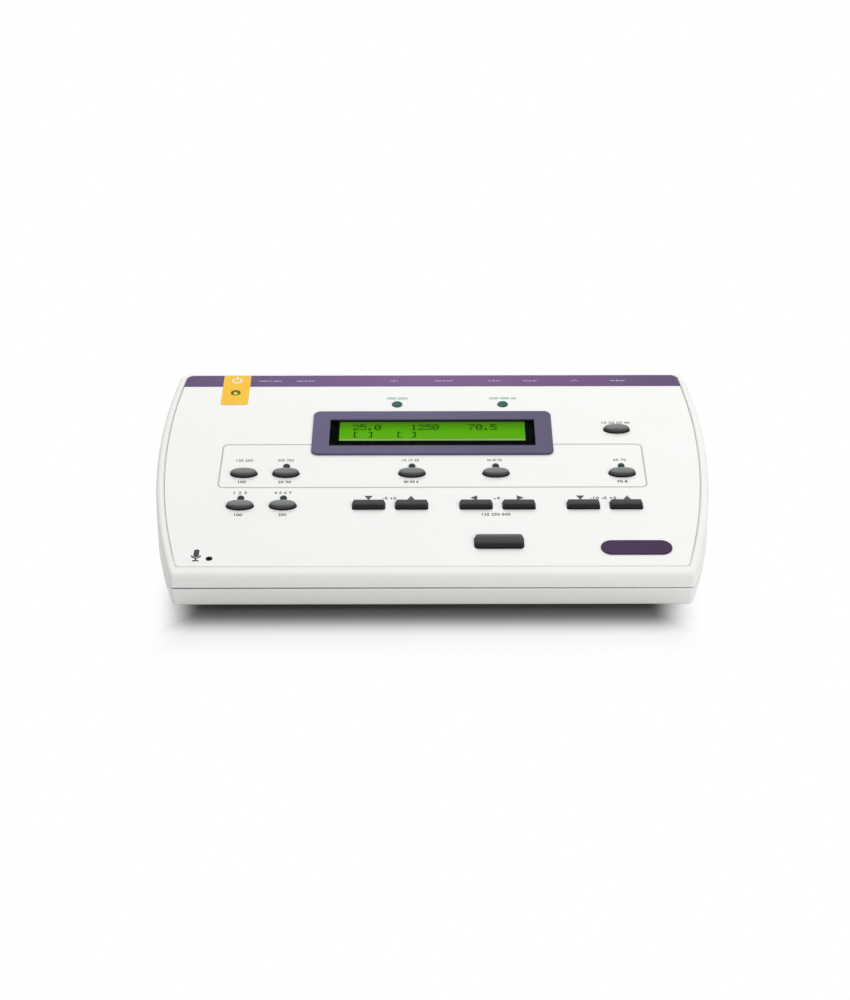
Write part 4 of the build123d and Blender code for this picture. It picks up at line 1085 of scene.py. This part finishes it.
# %% Rear plate numbers
plate_outer = 78.8
plate_frame = Matrix(((-MM, 0, 0, 0), (0, 0, MM, plate_outer * MM), (0, MM, 0, 0), (0, 0, 0, 1)))
number_z, number_height = 38.3, 2.8
one_width, figure_width = 0.7, 1.8
plate_mesh = bmesh.new()
socket_x = (-84, -57, -19.7, 5.97, 31.64, 50.2, 72.9, 94.9)
for number, x in enumerate(socket_x, start=1):
    wide = one_width if number == 1 else figure_width
    figures(plate_mesh, str(number), -x, number_z, wide, number_height, plate_frame, 0)
piece("rear_socket_numbers", plate_mesh, ink_grey, "console")

# %% [markdown]
# The rocker has a stroke and a ring, the usual signs for on and off, one on each half of its face.
# The two halves meet in a shallow fold. At rest the lower half is upright and the upper half leans
# out by the rocker's whole swing, and each sign has a matrix that lays it on its own half.

# %% Rocker signs
switch_x = -102
pivot_y, pivot_z = 77.2, 27.5
swing = math.radians(14)
fold_radius = 2.9
fold_y = pivot_y + fold_radius * math.cos(swing / 2)
fold_z = pivot_z - fold_radius * math.sin(swing / 2)
sign_distance = 4.2
off_outer, off_inner = 1.6, 1.15
lower_face = Matrix(
    ((-MM, 0, 0, switch_x * MM), (0, 0, MM, fold_y * MM), (0, MM, 0, fold_z * MM), (0, 0, 0, 1))
)
upper_face = Matrix(
    (
        (-MM, 0, 0, switch_x * MM),
        (0, MM * math.sin(swing), MM * math.cos(swing), fold_y * MM),
        (0, MM * math.cos(swing), -MM * math.sin(swing), fold_z * MM),
        (0, 0, 0, 1),
    )
)
rocker_mesh = bmesh.new()
outer = circle(0, -sign_distance, off_outer, steps=24)
inner = circle(0, -sign_distance, off_inner, steps=24)
ring(rocker_mesh, outer, inner, lower_face, 0)
stroke = bar(0, sign_distance, width=0.5, height=3.2)
prism(rocker_mesh, stroke, upper_face, 0)
piece("rocker_signs", rocker_mesh, ink_white, "rocker")

# %% [markdown]
# ## Floor and light
# The surroundings show as plain white and yet light the console only a little. For that, a shader
# has to know which rays make the picture: those from the camera, a mirror or a pane.


# %% Picture rays
def picture_rays(tree):
    """1 for rays from the camera, by way of mirrors and panes too, and 0 for the light's own."""
    path = add(tree, "ShaderNodeLightPath")
    both = add(tree, "ShaderNodeMath", {"operation": "MAXIMUM"})
    tree.links.new(path.outputs["Is Camera Ray"], both.inputs[0])
    tree.links.new(path.outputs["Is Glossy Ray"], both.inputs[1])
    every = add(tree, "ShaderNodeMath", {"operation": "MAXIMUM"})
    tree.links.new(both.outputs["Value"], every.inputs[0])
    tree.links.new(path.outputs["Is Transmission Ray"], every.inputs[1])
    return every.outputs["Value"]


print("picture rays: from the camera, a mirror or a pane")

# %% [markdown]
# The console stands on a glossy white card. The card's colour is darker under the console, a
# painted shadow. A few centimetres before and behind the console keep its shadow, and all beyond is
# plain white for the camera and for reflections. Both areas are boxes with soft edges, a few
# millimetres to the left of the console's middle, because the front lamp stands on its right. Each
# edge is given as the two distances in mm between which it fades, first across and then from front
# to rear.

# %% Areas of the floor
box_middle = Vector((-3.2, 0, 0)) * MM
painted_card_shadow = ((103, 123), (79, 105))
shadow_area = ((102, 128), (95, 135))


def outside_box(tree, x_edge, y_edge):
    """0 inside a box about its middle and 1 outside, each edge from one distance to another."""
    position = add(tree, "ShaderNodeNewGeometry").outputs["Position"]
    offset = add(tree, "ShaderNodeVectorMath", {"operation": "SUBTRACT"})
    offset.inputs[1].default_value = box_middle
    tree.links.new(position, offset.inputs[0])
    parts = add(tree, "ShaderNodeSeparateXYZ", Vector=offset.outputs["Vector"])
    greatest = add(tree, "ShaderNodeMath", {"operation": "MAXIMUM"})
    for socket, axis, (near, far) in ((0, "X", x_edge), (1, "Y", y_edge)):
        distance = add(tree, "ShaderNodeMath", {"operation": "ABSOLUTE"}, Value=parts.outputs[axis])
        fade = {"From Min": near * MM, "From Max": far * MM, "interpolation_type": "SMOOTHSTEP"}
        ramp = add(tree, "ShaderNodeMapRange", fade, Value=distance.outputs["Value"])
        tree.links.new(ramp.outputs["Result"], greatest.inputs[socket])
    return greatest.outputs["Value"]


print("the shadow fades between", shadow_area[1], "mm in front and behind")

# %% [markdown]
# The card is coated, so it is smooth and mirrors the console faintly. Its shader mixes the real
# card, which shows the shadow, with plain white beyond the shadow's area.

# %% Floor
bpy.ops.mesh.primitive_plane_add(size=12, location=(0, 2.0, 0))
floor = bpy.context.object
floor.name = "floor"
fixed = {"Roughness": 0.1, "IOR": 1.45, "Specular IOR Level": 0.3}
floor_card, tree, shader, _ = start("card_white_coated", fixed)
# Painted shadow: the card's colour is darker inside the box under the console.
stops = {"stops": [(0, "#8F8D8B"), (1, "#F8F8F8")]}
tone = add(tree, "ShaderNodeValToRGB", stops, Fac=outside_box(tree, *painted_card_shadow))
tree.links.new(tone.outputs["Color"], shader.inputs["Base Color"])
share = add(tree, "ShaderNodeMath", {"operation": "MULTIPLY"})
tree.links.new(outside_box(tree, *shadow_area), share.inputs[0])
tree.links.new(picture_rays(tree), share.inputs[1])
white = add(tree, "ShaderNodeEmission", {"Color": (1, 1, 1, 1), "Strength": 1.0})
mix = add(tree, "ShaderNodeMixShader", Fac=share.outputs["Value"])
tree.links.new(shader.outputs["BSDF"], mix.inputs[1])
tree.links.new(white.outputs["Emission"], mix.inputs[2])
tree.links.new(mix.outputs["Shader"], tree.nodes["Material Output"].inputs["Surface"])
floor.data.materials.append(floor_card)
floor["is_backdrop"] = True
print("floor", [round(v, 2) for v in floor.dimensions])

# %% [markdown]
# The main lamp is a wide softbox above and behind the console. It lights the panel, and leaves
# the front in its own shade with a soft shadow before it. A second one at the front right fills
# that shade. Neither is seen in reflections, so that the films and the lenses keep their colour.


# %% Lamps
def softbox(name, location, size, power):
    """A square area lamp that faces the origin, with its side in metres and its power in watts."""
    data = bpy.data.lights.new(name, "AREA")
    data.size = size
    data.energy = power
    lamp = bpy.data.objects.new(name, data)
    bpy.context.scene.collection.objects.link(lamp)
    lamp.location = location
    lamp.rotation_euler = (-Vector(location)).to_track_quat("-Z", "Y").to_euler()
    lamp.visible_glossy = False
    print(name, power, "W")


softbox("rear_softbox", location=(-0.05, 0.75, 1.3), size=1.4, power=17)
softbox("front_softbox", location=(0.8, -1.0, 0.7), size=0.8, power=8)

# %% [markdown]
# The world adds little light, and shows white to the camera and in reflections.

# %% World
world_light, seen_white = 0.33, 1.0
world = bpy.data.worlds.new("studio")
bpy.context.scene.world = world
world.use_nodes = True
tree = world.node_tree
background = tree.nodes["Background"]
reach = {"To Min": world_light, "To Max": seen_white}
level = add(tree, "ShaderNodeMapRange", reach, Value=picture_rays(tree))
tree.links.new(level.outputs["Result"], background.inputs["Strength"])
background.inputs["Color"].default_value = (1, 1, 1, 1)
print("world lights at", world_light, "and shows as", seen_white)

# %% Sizes and finish
low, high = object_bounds()
print("dressed", [round(v * 1000, 2) for v in high - low], "mm")
